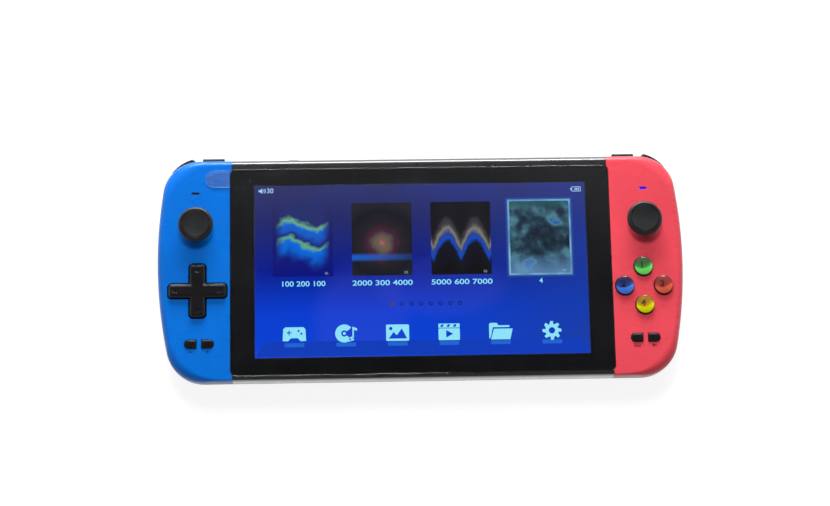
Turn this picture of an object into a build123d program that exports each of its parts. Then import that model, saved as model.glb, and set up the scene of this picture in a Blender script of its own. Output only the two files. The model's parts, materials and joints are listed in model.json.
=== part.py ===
from build123d import *
import os
from math import sqrt, sin, cos, radians, atan2

os.makedirs("parts", exist_ok=True)

# A handheld game console lying on its back.
# X runs to its right, Y to the shoulder buttons, Z out of the screen.
# The origin is under the middle of the case, on the plane that it rests on.
# All sizes are in millimetres.

# Screen and glass
lit_w = 157.3
lit_h = 82.9
bezel_side = 11.55
bezel_top = 8.1
bezel_bottom = 8.5
glass_t = 1.1
glass_corner = 2.6
glass_proud = 0.25
glass_gap = 0.12
mask_t = 0.15
mask_margin = 0.4
film_t = 0.12
film_inset = 0.5
tab_reach = 11.5
tab_h = 8.8
tab_drop = 4.6
tab_root = 9.8
tab_t = 0.1
panel_border = 3.2
panel_t = 3.4
panel_gap = 0.3
panel_round = 1.0

# Case outline, seen from the front
grip_w = 34.4
lip_top = 5.1
lip_bottom = 2.3
side_arc_r = 222.0
side_arc_rise = 6.4
corner_top_r = 17.0
corner_bottom_r = 17.8
frame_overlap = 0.8
seam_gap = 0.1
tongue_reach = 3.6
tongue_t = 1.3
tongue_inset = 18.0
tongue_l = 22.0
tongue_low_in = 9.0
tongue_low_l = 14.3
rib_t = 1.2
glass_bevel = 0.2

# Case heights
face_z = 21.0
parting_z = 13.0
grip_drop = 3.6
wall = 1.8
plate = 1.8

# Edge rounding of the case
roll_h = 4.4
roll_side = 3.5
roll_top = 3.2
roll_bottom = 0.8
roll_corner = 9.0
rear_roll = 14.0
round_steps = 8
trough_slope = 10.0
trough_round = 8.0
trough_skirt = 1.0

# Thumbsticks
stick_in = 15.9
stick_up = 21.85
stick_pivot_drop = 8.6
stick_dome_r = 9.2
stick_dome_t = 0.9
stick_dome_angle = 49.0
stick_hole_r = 6.9
stick_disc_r = 8.3
stick_disc_h = 2.6
stick_rise = 6.6
stick_neck_r = 3.3
stick_post_r = 1.6
stick_press = 0.5
can_half = 7.0
can_wall = 1.3
can_plate = 0.6
can_head_gap = 0.3
can_foot_gap = 0.8
can_mouth_r = 4.2
can_ear_reach = 2.4
can_ear_w = 4.0
can_ear_t = 0.6
stick_boss_lift = 4.6
post_end = 0.4
disc_bevel = 0.8
disc_round = 1.4
groove_r = 6.35
groove_w = 0.5
groove_depth = 0.3
dish_edge_r = 6.0
dish_depth = 0.35
groove_break = 0.8
carrier_h = 3.0
carrier_wall = 1.4
carrier_gap = 0.2
yoke_gap = 0.4
yoke_wall_x = 1.4
yoke_wall_y = 1.5
yoke_t = 1.6
hub_gap = 0.3
yoke_pin_r = 0.7
hub_pin_r = 0.6
pin_gap = 0.05
pin_end_gap = 0.3
hub_end_gap = 0.2
weld = 0.3

# Direction pad
pad_in = 15.3
pad_down = 9.15
pad_w = 27.2
pad_d = 25.4
pad_arm_w = 7.4
pad_arm_d = 6.6
pad_arm_r = 1.6
pad_rise = 1.9
pad_bevel = 0.9
pad_gap = 0.6
pad_flange = 1.1
pad_flange_drop = 4.4
pad_flange_t = 1.1
pad_ball_r = 1.5
pad_ball_drop = 5.1
pad_hub_r = 3.2
pad_post_r = 2.0
pad_cup = 0.6
pad_tilt = 4.0
pad_mark = 2.2
pad_mark_in = 3.1
pad_mark_depth = 0.3
pad_dome_r = 2.4
sheet_rim = 0.6

# Face buttons
buttons_in = 14.9
buttons_down = 9.55
button_spread = 9.2
button_r = 4.4
button_rise = 1.3
button_crown = 1.1
button_gap = 0.25
button_flange = 0.75
button_stem_r = 2.4
button_stem_h = 1.3
button_travel = 1.2
flange_t = 1.2
flange_play = 0.1

# Small keys
keys_in = 14.6
keys_rise = 17.75
key_w = 5.6
key_h = 4.0
key_space = 2.5
key_proud = 0.65
key_gap = 0.2
key_flange = 0.7
key_stem_r = 1.4
key_stem_h = 1.7
key_travel = 0.6
key_round = 0.35

# Indicator lights
light_in = 16.3
light_drop = 16.65
light_w = 3.6
light_h = 1.05
light_gap = 0.05
light_flange = 0.8
light_pipe_r = 0.5
led_w = 1.6
led_h = 0.7

# Shoulder buttons
shoulder_drop = 4.5
shoulder_h = 7.0
shoulder_proud = 1.85
shoulder_gap = 0.3
shoulder_travel = 1.0
shoulder_in = 2.8
shoulder_w = 10.4
shoulder_flange = 0.7
shoulder_seat = 3.7
lever_depth = 2.8
lever_proud = 2.2
lever_proud_end = 0.6
lever_tip_r = 1.0
lever_start = 43.0
lever_turn = 5.0
lever_back_gap = 1.2
lever_front_gap = 2.4
lever_pivot_in = 3.4
lever_pivot_angle = 46.5
lever_reach = 10.85
lever_ear_r = 1.7
lever_pin_r = 0.75
lever_sink = 1.0
lever_contact_in = 1.0
contact_w = 4.0
contact_d = 3.0
contact_h = 2.7
contact_tip_r = 0.8
contact_tip_l = 0.9
shoulder_round = 0.6

# Boards and what is on them
board_t = 1.2
control_drop = 9.0
control_board_edge = 5.6
board_round = 1.5
control_board_start = 2.4
main_drop = 2.0
main_board_in = 4.65
main_board_low = 3.8
main_board_edge = 3.0
shield_w = 34.0
shield_d = 26.0
shield_h = 2.4
battery_w = 110.0
battery_h = 6.6
battery_edge = 8.0
battery_round = 1.2
battery_gap = 10.05
speaker_w = 13.0
speaker_d = 19.0
speaker_h = 3.2
speaker_in = 11.3
speaker_rise = 25.75
speaker_round = 3.0
speaker_rim = 1.0
speaker_well = 0.6
magnet_r = 4.55
magnet_h = 1.2
grille_slot = 1.2
grille_pitch = 2.6
grille_count = 5
grille_in = 3.0
membrane_t = 0.8
press_gap = 0.05
board_gap = 0.4
ribbon_in = 6.4
ribbon_up = 28.0
ribbon_w = 8.0
ribbon_t = 0.3
ribbon_lift = 0.5
ribbon_bend = 1.2
ribbon_slope = 3.0
ribbon_play = 0.1
plug_d = 3.2
plug_h = 1.5
plug_side = 1.0
plug_in = 1.0
flex_end = 12.0
flex_run = 8.0
flex_slope = 4.0
flex_in = 1.0
shield_x = -2.0
shield_in = 8.0
memory_out = 34.0
memory_in = 16.0
radio_out = 36.0
radio_in = 12.0
lead_plug_in = 2.0
lead_in = 17.0
lead_straight = 4.0
lead_slope = 2.5
lead_bend = 1.4
lead_r = 0.55
lead_run = 5.0
speaker_lift = 0.25

# Sockets in the top edge
socket_set_back = 0.3
usb_x = 0.0
usb_w = 8.9
usb_h = 3.2
usb_l = 7.3
video_x = 28.0
video_w = 11.2
video_h = 3.4
video_l = 7.5
shell_t = 0.3
phones_end = 16.0
phones_r = 1.8
phones_l = 12.0
phones_w = 6.4
phones_h = 4.8
phones_lift = 1.0
phones_nose_r = 2.7
socket_wall_gap = 0.4
socket_back = 1.0
port_reach = 1.5
usb_tongue_h = 0.7
video_tongue_h = 0.9
video_round = 0.5
card_x = -34.0
card_w = 11.2
card_slot_h = 1.1
card_l = 15.0
card_body_h = 1.9
card_side = 1.2
card_back = 1.0
tongue_in = 1.2
tongue_root = 0.5
power_lever = 1.2
power_end = 14.0
power_knob_w = 4.0
power_knob_h = 2.2
power_travel = 2.0
power_proud = 0.9
power_base_w = 9.0
power_base_d = 3.6
power_rise = 1.9
power_seat = 0.25
power_cheek = 0.6
power_lever_gap = 0.2
power_flange = 1.0
power_flange_rise = 0.4
rib_pitch = 1.1
rib_cut = 0.4
rib_depth = 0.3
port_gap = 0.3

# Fasteners
screw_r = 0.95
screw_l = 8.0
screw_head_r = 1.8
screw_head_h = 1.4
cross_depth = 0.55
cross_reach = 0.62
cross_half = 0.14
screw_grip = 5.0
screw_bite = 4.0
screw_bore_gap = 0.02
screw_pass_gap = 0.2
boss_r = 2.5
boss_in = 4.3
boss_top = 16.0
boss_low = 8.4
boss_out_top = 9.1
boss_out_low = 14.1
boss_rise_low = 10.8
frame_boss_top = 5.6
frame_boss_low = 4.8
frame_boss_in = 0.6
frame_boss_step = 8.0
post_in = 4.2
post_out = 7.1
post_high = 6.2
post_low = 26.6
rear_boss_wall = 1.1
post_r = 2.1
pin_post_r = 2.0
pin_hold = 1.6
main_post_in = 4.0
main_post_top = 8.0
board_screw_r = 0.8
board_screw_l = 4.0
board_screw_head_r = 1.6
board_screw_head_h = 1.0
screw_tip_gap = 0.5

# Derived places
body_h = lit_h + bezel_top + bezel_bottom + lip_top + lip_bottom
edge_bottom = -(body_h + lever_proud) / 2
edge_top = edge_bottom + body_h
screen_y = edge_bottom + lip_bottom + bezel_bottom + lit_h / 2
glass_half_w = lit_w / 2 + bezel_side
glass_low = screen_y - lit_h / 2 - bezel_bottom
glass_high = screen_y + lit_h / 2 + bezel_top
half_w = glass_half_w + grip_w
side_arc_x = half_w - side_arc_r
side_arc_y = screen_y + side_arc_rise
cover_x = glass_half_w - frame_overlap
glass_top_z = face_z + glass_proud
glass_low_z = glass_top_z - glass_t
ledge_z = glass_low_z - mask_t
inner_z = face_z - plate
panel_z = ledge_z - panel_t
control_board_z = face_z - control_drop
main_board_z = parting_z - main_drop
stick_top_z = face_z + stick_rise
stick_pivot_z = face_z - stick_pivot_drop
stick_boss_low_z = stick_pivot_z + stick_boss_lift
can_top_z = stick_pivot_z + carrier_h / 2 + can_head_gap + can_plate
can_floor_z = stick_pivot_z - carrier_h / 2 - stick_press - can_foot_gap - can_plate
pad_top_z = face_z + pad_rise
pad_flange_z = face_z - pad_flange_drop
pad_ball_z = face_z - pad_ball_drop
button_side_z = face_z + button_rise
shoulder_low_z = parting_z - shoulder_drop
phones_z = parting_z + phones_lift
screw_seat_z = parting_z - screw_grip
control_top_z = control_board_z + board_t
main_top_z = main_board_z + board_t
floor_z = wall
stick_x = glass_half_w + stick_in
stick_y = screen_y + stick_up
pad_x = glass_half_w + pad_in
pad_y = screen_y - pad_down
buttons_x = glass_half_w + buttons_in
buttons_y = screen_y - buttons_down
keys_x = glass_half_w + keys_in
keys_y = edge_bottom + keys_rise
light_x = glass_half_w + light_in
light_y = edge_top - light_drop
flange_top_z = inner_z - flange_play
shoulder_x0 = glass_half_w + shoulder_in
shoulder_high_z = shoulder_low_z + shoulder_h
shoulder_seat_y = edge_top - shoulder_seat - flange_play
shoulder_back_y = shoulder_seat_y - flange_t
pin_low_z = shoulder_low_z - shoulder_gap - pin_hold
glass_y = (glass_low + glass_high) / 2
rear_boss_r = screw_head_r + screw_pass_gap + rear_boss_wall
main_board_y0 = screen_y + main_board_low
main_board_y1 = edge_top - main_board_edge
speaker_x = glass_half_w + speaker_in
speaker_y = edge_bottom + speaker_rise
power_z = main_top_z + power_rise
main_board_w = lit_w - 2 * main_board_in
battery_d = main_board_y0 - battery_gap - edge_bottom - battery_edge
phones_x = main_board_w / 2 - phones_end
power_x = power_end - main_board_w / 2
flex_x = flex_end - main_board_w / 2
ribbon_x1 = glass_half_w + ribbon_in
lead_x = battery_w / 2 - lead_in
ribbon_y = screen_y + ribbon_up
tongue_spans = [
    (edge_top - tongue_inset - tongue_l, edge_top - tongue_inset),
    (edge_bottom + tongue_low_in, edge_bottom + tongue_low_in + tongue_low_l),
]

# Chips and the battery's plug on the main board, as middle X, middle Y, width, depth and height
chips = [
    (shield_x, main_board_y0 + shield_in + shield_d / 2, 14.0, 14.0, 1.2),
    (shield_x + memory_out, main_board_y0 + memory_in, 9.0, 11.0, 1.0),
    (shield_x - radio_out, main_board_y0 + radio_in, 7.0, 7.0, 1.0),
    (lead_x + 1.5 * lead_r, main_board_y0 + lead_run + lead_plug_in, 6.0, 4.0, 2.2),
]

# Screw places in one grip and along the centre, as X from the middle and Y
grip_bosses = [
    (glass_half_w + boss_in, edge_top - boss_top),
    (half_w - boss_out_top, edge_top - boss_top),
    (half_w - boss_out_low, edge_bottom + boss_rise_low),
    (glass_half_w + boss_in, edge_bottom + boss_low),
]
centre_bosses = [
    (lit_w / 2 - frame_boss_in, edge_top - frame_boss_top),
    (lit_w / 2 - frame_boss_in - frame_boss_step, edge_bottom + frame_boss_low),
]
board_posts = [
    (glass_half_w + post_in, screen_y + post_high),
    (half_w - post_out, screen_y + post_high),
    (glass_half_w + post_in, screen_y - post_low),
]


def block(x0, x1, y0, y1, z0, z1):
    """A box given by its limits."""
    centre = Pos((x0 + x1) / 2, (y0 + y1) / 2, (z0 + z1) / 2)
    return centre * Box(x1 - x0, y1 - y0, z1 - z0)


def rod(x, y, z0, z1, r):
    """An upright cylinder between two heights."""
    return Pos(x, y, (z0 + z1) / 2) * Cylinder(r, z1 - z0)


def prism(sketch, x, y, z0, z1):
    """A flat shape pulled up between two heights."""
    return Pos(x, y, z0) * extrude(sketch, z1 - z0)


def ring(x, y, z0, z1, outer, inner):
    """An upright tube."""
    return rod(x, y, z0, z1, outer) - rod(x, y, z0 - 1, z1 + 1, inner)


def save(name, *solids):
    """Write one piece, or one group of separate pieces."""
    bodies = []
    for shape in solids:
        bodies.extend(shape.solids())
    shape = bodies[0] if len(bodies) == 1 else Compound(children=bodies)
    shape.label = name
    export_step(shape, f"parts/{name}.step")


def corner_centre(y_line, r_corner, r_side):
    """Centre X of a corner arc that meets a level line and the side arc."""
    reach = r_side - r_corner
    return side_arc_x + sqrt(reach**2 - (y_line - side_arc_y) ** 2)


def outline(z, side, top, bottom, soft=0.0):
    """The case's outline at one height, drawn in by the three amounts."""
    r_side = side_arc_r - side
    y_top = edge_top - top
    y_low = edge_bottom + bottom
    r_top = corner_top_r - (side + top) / 2 + soft
    r_low = corner_bottom_r - (side + bottom) / 2 + soft
    top_c = (corner_centre(y_top - r_top, r_top, r_side), y_top - r_top)
    low_c = (corner_centre(y_low + r_low, r_low, r_side), y_low + r_low)
    top_a = atan2(top_c[1] - side_arc_y, top_c[0] - side_arc_x)
    low_a = atan2(low_c[1] - side_arc_y, low_c[0] - side_arc_x)

    def on(centre, r, angle, sign):
        return (sign * (centre[0] + r * cos(angle)), centre[1] + r * sin(angle), z)

    quarter = radians(90)
    side_c = (side_arc_x, side_arc_y)

    def half(sign):
        return [
            ThreePointArc(
                on(top_c, r_top, quarter, sign),
                on(top_c, r_top, (quarter + top_a) / 2, sign),
                on(top_c, r_top, top_a, sign),
            ),
            ThreePointArc(
                on(side_c, r_side, top_a, sign),
                on(side_c, r_side, (top_a + low_a) / 2, sign),
                on(side_c, r_side, low_a, sign),
            ),
            ThreePointArc(
                on(low_c, r_low, low_a, sign),
                on(low_c, r_low, (low_a - quarter) / 2, sign),
                on(low_c, r_low, -quarter, sign),
            ),
        ]

    top_line = Line((-top_c[0], y_top, z), (top_c[0], y_top, z))
    low_line = Line((-low_c[0], y_low, z), (low_c[0], y_low, z))
    edges = [top_line] + half(1) + [low_line] + half(-1)
    return Wire([edge.edge() for edge in edges])


def quarter_round(share):
    """How far a quarter ellipse has turned in after a share of its height."""
    return 1 - sqrt(max(0.0, 1 - share**2))


def front_section(z, extra=0.0, share=0.0, strength=1.0):
    turn = quarter_round(share) * strength
    return outline(
        z, extra + roll_side * turn, extra + roll_top * turn,
        extra + roll_bottom * turn, roll_corner * turn,
    )


def front_outer():
    """The outside of the front half, rounded off to the flat face."""
    start = face_z - roll_h
    side_wall = Solid.extrude(Face(front_section(parting_z)), Vector(0, 0, start - parting_z))
    sections = []
    for step in range(round_steps + 1):
        share = sin(radians(90 * step / round_steps))
        sections.append(front_section(start + share * roll_h, share=share))
    return Part() + side_wall + Solid.make_loft(sections)


def front_core():
    """The hollow of the front half."""
    start = face_z - roll_h - plate
    sections = [front_section(parting_z - 1, extra=wall), front_section(start, extra=wall)]
    for share in (0.64, 1.0):
        height = start + share * roll_h
        sections.append(front_section(height, extra=wall, share=share, strength=0.6))
    return Solid.make_loft(sections, ruled=True)


def rear_hull(extra):
    """The rear half as one full bowl, drawn in by a wall."""
    depth = parting_z - extra
    sections = []
    for step in range(round_steps + 1):
        share = sin(radians(90 * step / round_steps))
        inset = extra + rear_roll * quarter_round(share)
        sections.append(outline(parting_z - share * depth, inset, inset, inset))
    return Solid.make_loft(sections)


def trough(extra):
    """The shallow channel between the two palm grips, widened by a wall."""
    depth = grip_drop + extra
    foot = cover_x + trough_slope / 2 + extra
    points = [
        (-foot, -trough_skirt), (trough_slope - foot, depth),
        (foot - trough_slope, depth), (foot, -trough_skirt),
    ]
    profile = Plane.XZ * make_face(Polyline(points, close=True))
    bar = extrude(profile, body_h, both=True)
    upper = bar.edges().filter_by(Axis.Y).group_by(Axis.Z)[-1]
    return fillet(upper, trough_round)


def glass_shape(extra):
    """The glass's rounded rectangle, grown all round."""
    width = 2 * (glass_half_w + extra)
    return RectangleRounded(width, glass_high - glass_low + 2 * extra, glass_corner + extra)


def both_sides(places):
    """Each place and its mirror image."""
    return [(sign * x, y) for x, y in places for sign in (1, -1)]


def add_bosses(body, places, foot_z, r, thread_r, depth):
    """Pillars hanging from the front plate, each with its blind bore."""
    for x, y in places:
        body += rod(x, y, foot_z, inner_z + plate / 3, r)
    for x, y in places:
        body -= rod(x, y, foot_z - 1, foot_z + depth, thread_r)
    return body


def lever_pivot():
    """Centre of the right corner arc, and the pivot of the lever on it."""
    r_side = side_arc_r
    y = edge_top - corner_top_r
    centre = (corner_centre(y, corner_top_r, r_side), y)
    reach = corner_top_r - lever_pivot_in
    angle = radians(lever_pivot_angle)
    pivot = (centre[0] + reach * cos(angle), centre[1] + reach * sin(angle))
    return centre, pivot


def lever_zone(gap, back_gap, front_gap, turn):
    """Part of the corner that the lever sweeps as it turns in, grown by its gaps."""
    (cx, cy), (px, py) = lever_pivot()
    far = corner_top_r + lever_proud + front_gap
    start = radians(lever_start) - gap / corner_top_r
    rise = sqrt(lever_reach**2 - (px - cx) ** 2)
    left = cx - gap / 2 - rise * sin(radians(turn))
    low = (cx + far * cos(start), cy + far * sin(start))
    points = [(left, cy), low, (cx + far, cy + far), (left, cy + far)]
    zone = make_face(Polyline(points, close=True))
    zone -= Pos(cx, cy) * Circle(corner_top_r - lever_depth - back_gap)
    return zone & Pos(px, py) * Circle(lever_reach + gap)


def lever_ear(gap):
    """Round end of the lever about its pin."""
    (px, py) = lever_pivot()[1]
    return Pos(px, py) * Circle(lever_ear_r + gap / 2)


def lever_plan():
    """Plan of the right corner lever, proud at its inner end and flush at its outer end."""
    (cx, cy) = lever_pivot()[0]
    middle = ((90 + lever_start) / 2, (lever_proud + lever_proud_end) / 2)
    rim = []
    for angle, proud in ((90.0, lever_proud), middle, (lever_start, lever_proud_end)):
        r = corner_top_r + proud
        rim.append((cx + r * cos(radians(angle)), cy + r * sin(radians(angle))))
    bow = make_face(ThreePointArc(*rim) + Polyline([rim[2], (cx, cy), rim[0]]))
    plan = (lever_zone(0, 0, 0, 0) & bow) + lever_ear(0)
    return fillet(plan.vertices().group_by(Axis.Y)[-1], lever_tip_r)


def shoulder_slots():
    """What the right-hand shoulder buttons take out of both halves of the case."""
    z0 = shoulder_low_z - shoulder_gap
    z1 = shoulder_high_z + shoulder_gap
    x0 = shoulder_x0 - shoulder_gap
    x1 = shoulder_x0 + shoulder_w + shoulder_gap
    straight = block(x0, x1, edge_top - shoulder_seat, edge_top + 3, z0, z1)
    zone = lever_zone(shoulder_gap, lever_back_gap, lever_front_gap, lever_turn)
    return straight + prism(zone + lever_ear(shoulder_gap), 0, 0, z0, z1)


def port_slots():
    """What the sockets and the power slider take out of both halves of the case."""
    y0 = edge_top - wall - port_reach
    y1 = edge_top + 1
    cuts = []
    for x, w, h in (
        (usb_x, usb_w, usb_h), (video_x, video_w, video_h), (card_x, card_w, card_slot_h * 2),
    ):
        z = main_top_z + h / 2
        cuts.append(block(
            x - w / 2 - port_gap, x + w / 2 + port_gap, y0, y1,
            z - h / 2 - port_gap, z + h / 2 + port_gap,
        ))
    phones = Pos(phones_x, (y0 + y1) / 2, phones_z)
    cuts.append(phones * Rot(90, 0, 0) * Cylinder(phones_nose_r + port_gap, y1 - y0))
    cuts.append(block(
        power_x - power_knob_w / 2 - port_gap,
        power_x + power_knob_w / 2 + power_travel + port_gap, y0, y1,
        power_z - power_knob_h / 2 - port_gap, power_z + power_knob_h / 2 + port_gap,
    ))
    return cuts


def front_shell():
    """Both covers and the centre frame before they are parted."""
    shell = front_outer() - front_core()
    shell -= prism(glass_shape(glass_gap), 0, glass_y, ledge_z, face_z + 1)
    slots = shoulder_slots()
    shell -= slots
    shell -= mirror(slots, Plane.YZ)
    for cut in port_slots():
        shell -= cut
    return shell


def key_shape(extra):
    """A small key's plan: flat at its inner end and round at its outer end."""
    r = key_h / 2 + extra
    flat_x = -key_w / 2 - extra
    round_x = key_w / 2 - key_h / 2
    body = Pos((flat_x + round_x) / 2, 0) * Rectangle(round_x - flat_x, 2 * r)
    return body + Pos(round_x, 0) * Circle(r)


def key_places(side):
    """Outer and inner key of one grip: X, Y and the turn of its round end."""
    step = (key_w + key_space) / 2
    outer_turn = 0 if side > 0 else 180
    return [
        (side * (keys_x + step), keys_y, outer_turn),
        (side * (keys_x - step), keys_y, outer_turn + 180),
    ]


def cross_shape(extra):
    """The direction pad's plan, grown all round."""
    r = pad_arm_r + extra
    across = RectangleRounded(pad_w + 2 * extra, pad_arm_d + 2 * extra, r)
    return across + RectangleRounded(pad_arm_w + 2 * extra, pad_d + 2 * extra, r)


def light_shape(extra):
    return SlotOverall(light_w + 2 * extra, light_h + 2 * extra)


def side_cover(shell, side):
    """One grip's front cover with its pillars and openings."""
    if side > 0:
        cover = shell & block(cover_x, half_w + 2, -body_h, body_h, 0, face_z + 2)
    else:
        cover = shell & block(-half_w - 2, -cover_x, -body_h, body_h, 0, face_z + 2)
    for y0, y1 in tongue_spans:
        xs = sorted((side * (cover_x - tongue_reach), side * (cover_x + tongue_reach)))
        cover += block(xs[0], xs[1], y0, y1, inner_z - tongue_t, inner_z)
    bosses = [(side * x, y) for x, y in grip_bosses]
    posts = [(side * x, y) for x, y in board_posts]
    cover = add_bosses(cover, bosses, parting_z, boss_r, screw_r + screw_bore_gap, screw_bite)
    thread_r = board_screw_r + screw_bore_gap
    cover = add_bosses(cover, posts, control_top_z, post_r, thread_r, board_screw_l)
    (px, py) = lever_pivot()[1]
    cover += rod(side * px, py, shoulder_high_z + shoulder_gap, inner_z + plate / 3, pin_post_r)
    cover -= rod(side * px, py, parting_z, shoulder_high_z + pin_hold, lever_pin_r + screw_bore_gap)
    cover -= rod(side * stick_x, stick_y, inner_z - 1, face_z + 1, stick_hole_r)
    cover -= prism(light_shape(light_gap), side * light_x, light_y, inner_z - 1, face_z + 1)
    for x, y, turn in key_places(side):
        cover -= prism(Rot(0, 0, turn) * key_shape(key_gap), x, y, inner_z - 1, face_z + 1)
    if side < 0:
        hole = cross_shape(pad_gap)
        cover -= prism(hole, -pad_x, pad_y, inner_z - 1, face_z + 1)
    else:
        for x, y in button_places():
            cover -= rod(x, y, inner_z - 1, face_z + 1, button_r + button_gap)
    return cover


def button_places():
    """Top, left, right and bottom face button."""
    return [
        (buttons_x, buttons_y + button_spread), (buttons_x - button_spread, buttons_y),
        (buttons_x + button_spread, buttons_y), (buttons_x, buttons_y - button_spread),
    ]


def panel_block(extra, z0, z1):
    """The display panel's box, grown sideways."""
    w = lit_w / 2 + panel_border + extra
    h = lit_h / 2 + panel_border + extra
    return block(-w, w, screen_y - h, screen_y + h, z0, z1)


def centre_frame(shell):
    """The black middle of the front, which holds the panel and the glass."""
    edge = cover_x - seam_gap
    frame = shell & block(-edge, edge, -body_h, body_h, 0, face_z + 2)
    frame += panel_block(panel_gap + rib_t, panel_z, inner_z + 0.2)
    places = both_sides(centre_bosses)
    frame = add_bosses(frame, places, parting_z, boss_r, screw_r + screw_bore_gap, screw_bite)
    return frame - panel_block(panel_gap, parting_z - 1, ledge_z + 1)


def rear_cover():
    """The black back with its two palm grips."""
    outer = rear_hull(0) - trough(0)
    cover = outer - (rear_hull(wall) - trough(wall))
    cover -= block(-half_w, half_w, -body_h, body_h, parting_z - seam_gap, parting_z + 2)
    places = both_sides(grip_bosses + centre_bosses)
    pillars = [rod(x, y, -1, parting_z - seam_gap, rear_boss_r) for x, y in places]
    top = [rod(x, y, 0, main_board_z, post_r) for x, y in both_sides(main_posts())]
    (px, py) = lever_pivot()[1]
    pins = [rod(x, y, 0, shoulder_low_z - shoulder_gap, pin_post_r) for x, y in both_sides([(px, py)])]
    for pillar in pillars + top + pins:
        cover += pillar & outer
    for x, y in places:
        cover -= rod(x, y, -1, parting_z + 1, screw_r + screw_pass_gap)
        cover -= rod(x, y, -1, screw_seat_z, screw_head_r + screw_pass_gap)
    for x, y in both_sides(main_posts()):
        cover -= rod(x, y, main_board_z - board_screw_l, main_board_z + 1, board_screw_r + screw_bore_gap)
    for x, y in both_sides([(px, py)]):
        cover -= rod(x, y, pin_low_z, parting_z, lever_pin_r + screw_bore_gap)
    slots = shoulder_slots()
    cover -= slots
    cover -= mirror(slots, Plane.YZ)
    for cut in port_slots():
        cover -= cut
    for side in (1, -1):
        for index in range(grille_count):
            x = side * speaker_x + (index - (grille_count - 1) / 2) * grille_pitch
            slot = Rot(0, 0, 90) * SlotOverall(speaker_d - 2 * grille_in, grille_slot)
            cover -= prism(slot, x, speaker_y, -1, floor_z + 1)
    return cover


def main_posts():
    """Screw places of the main board on one side."""
    x = main_board_w / 2 - main_post_in
    return [(x, main_board_y0 + main_post_in), (x, main_board_y1 - main_post_top)]


def glass():
    body = prism(glass_shape(0), 0, glass_y, glass_low_z, glass_top_z)
    return chamfer(body.edges().group_by(Axis.Z)[-1], glass_bevel)


def mask():
    """Black border tape between the panel and the glass."""
    body = prism(glass_shape(-glass_gap), 0, glass_y, ledge_z, glass_low_z)
    window = Rectangle(lit_w + 2 * mask_margin, lit_h + 2 * mask_margin)
    return body - prism(window, 0, screen_y, ledge_z - 1, glass_low_z + 1)


def film():
    """Clear protective film with a pull tab at its upper left."""
    low_z = glass_top_z
    mid_z = low_z + film_t
    body = prism(glass_shape(-film_inset), 0, glass_y, low_z, mid_z)
    length = tab_reach + tab_root
    x = -glass_half_w - tab_reach + length / 2
    return body + prism(SlotOverall(length, tab_h), x, glass_high - tab_drop, mid_z, mid_z + tab_t)


def panel():
    body = panel_block(0, panel_z, ledge_z)
    return fillet(body.edges().filter_by(Axis.Z), panel_round)


def stick_can(x, y):
    """Closed metal can of a thumbstick, hung in its board by two ears."""
    low = can_floor_z
    can = block(x - can_half, x + can_half, y - can_half, y + can_half, low, can_top_z)
    inner = can_half - can_wall
    can -= block(
        x - inner, x + inner, y - inner, y + inner, low + can_plate, can_top_z - can_plate,
    )
    can -= rod(x, y, can_top_z - can_plate - 1, can_top_z + 1, can_mouth_r)
    reach = can_half + can_ear_reach
    z0 = control_top_z
    for sign in (1, -1):
        xs = sorted((x + sign * (can_half - weld), x + sign * reach))
        can += block(xs[0], xs[1], y - can_ear_w / 2, y + can_ear_w / 2, z0, z0 + can_ear_t)
    return can


def pin_along(axis, x, y, z, r, from_middle, to_middle):
    """A pair of pins on one axis, each side of a middle point."""
    turn = Rot(0, 90, 0) if axis == "x" else Rot(90, 0, 0)
    length = to_middle - from_middle
    pair = []
    for sign in (1, -1):
        shift = sign * (from_middle + length / 2)
        place = Pos(x + shift, y, z) if axis == "x" else Pos(x, y + shift, z)
        pair.append(place * turn * Cylinder(r, length))
    return pair


def square_ring(x, y, z, half, hole_x, hole_y, height):
    """A square frame with a rectangular hole, centred on a height."""
    low = z - height / 2
    high = z + height / 2
    body = block(x - half, x + half, y - half, y + half, low, high)
    return body - block(x - hole_x, x + hole_x, y - hole_y, y + hole_y, low - 1, high + 1)


carrier_half = can_half - can_wall - carrier_gap
carrier_hole = carrier_half - carrier_wall
yoke_half = carrier_hole - yoke_gap
yoke_hole_x = yoke_half - yoke_wall_x
yoke_hole_y = yoke_half - yoke_wall_y


def stick_carrier(x, y):
    """Slides down in the can when the stick is pressed, and holds the yoke."""
    z = stick_pivot_z
    body = square_ring(x, y, z, carrier_half, carrier_hole, carrier_hole, carrier_h)
    for bore in pin_along("x", x, y, z, yoke_pin_r + pin_gap, 0, carrier_half + 1):
        body -= bore
    return body


def stick_yoke(x, y):
    """Tilts about X in the carrier."""
    z = stick_pivot_z
    body = square_ring(x, y, z, yoke_half, yoke_hole_x, yoke_hole_y, yoke_t)
    for pin in pin_along("x", x, y, z, yoke_pin_r, yoke_hole_x + weld, carrier_half - pin_end_gap):
        body += pin
    for bore in pin_along("y", x, y, z, hub_pin_r + pin_gap, 0, yoke_half + 1):
        body -= bore
    return body


def stick_stem(x, y):
    """Tilts about Y in the yoke and carries the cap."""
    z = stick_pivot_z
    hub_r = yoke_hole_x - yoke_gap
    body = Pos(x, y, z) * Rot(90, 0, 0) * Cylinder(hub_r, 2 * (yoke_hole_y - hub_gap))
    for pin in pin_along("y", x, y, z, hub_pin_r, 0, yoke_half - hub_end_gap):
        body += pin
    post = rod(x, y, z, stick_top_z - stick_disc_h / 2 - post_end, stick_post_r)
    return body + post


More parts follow.
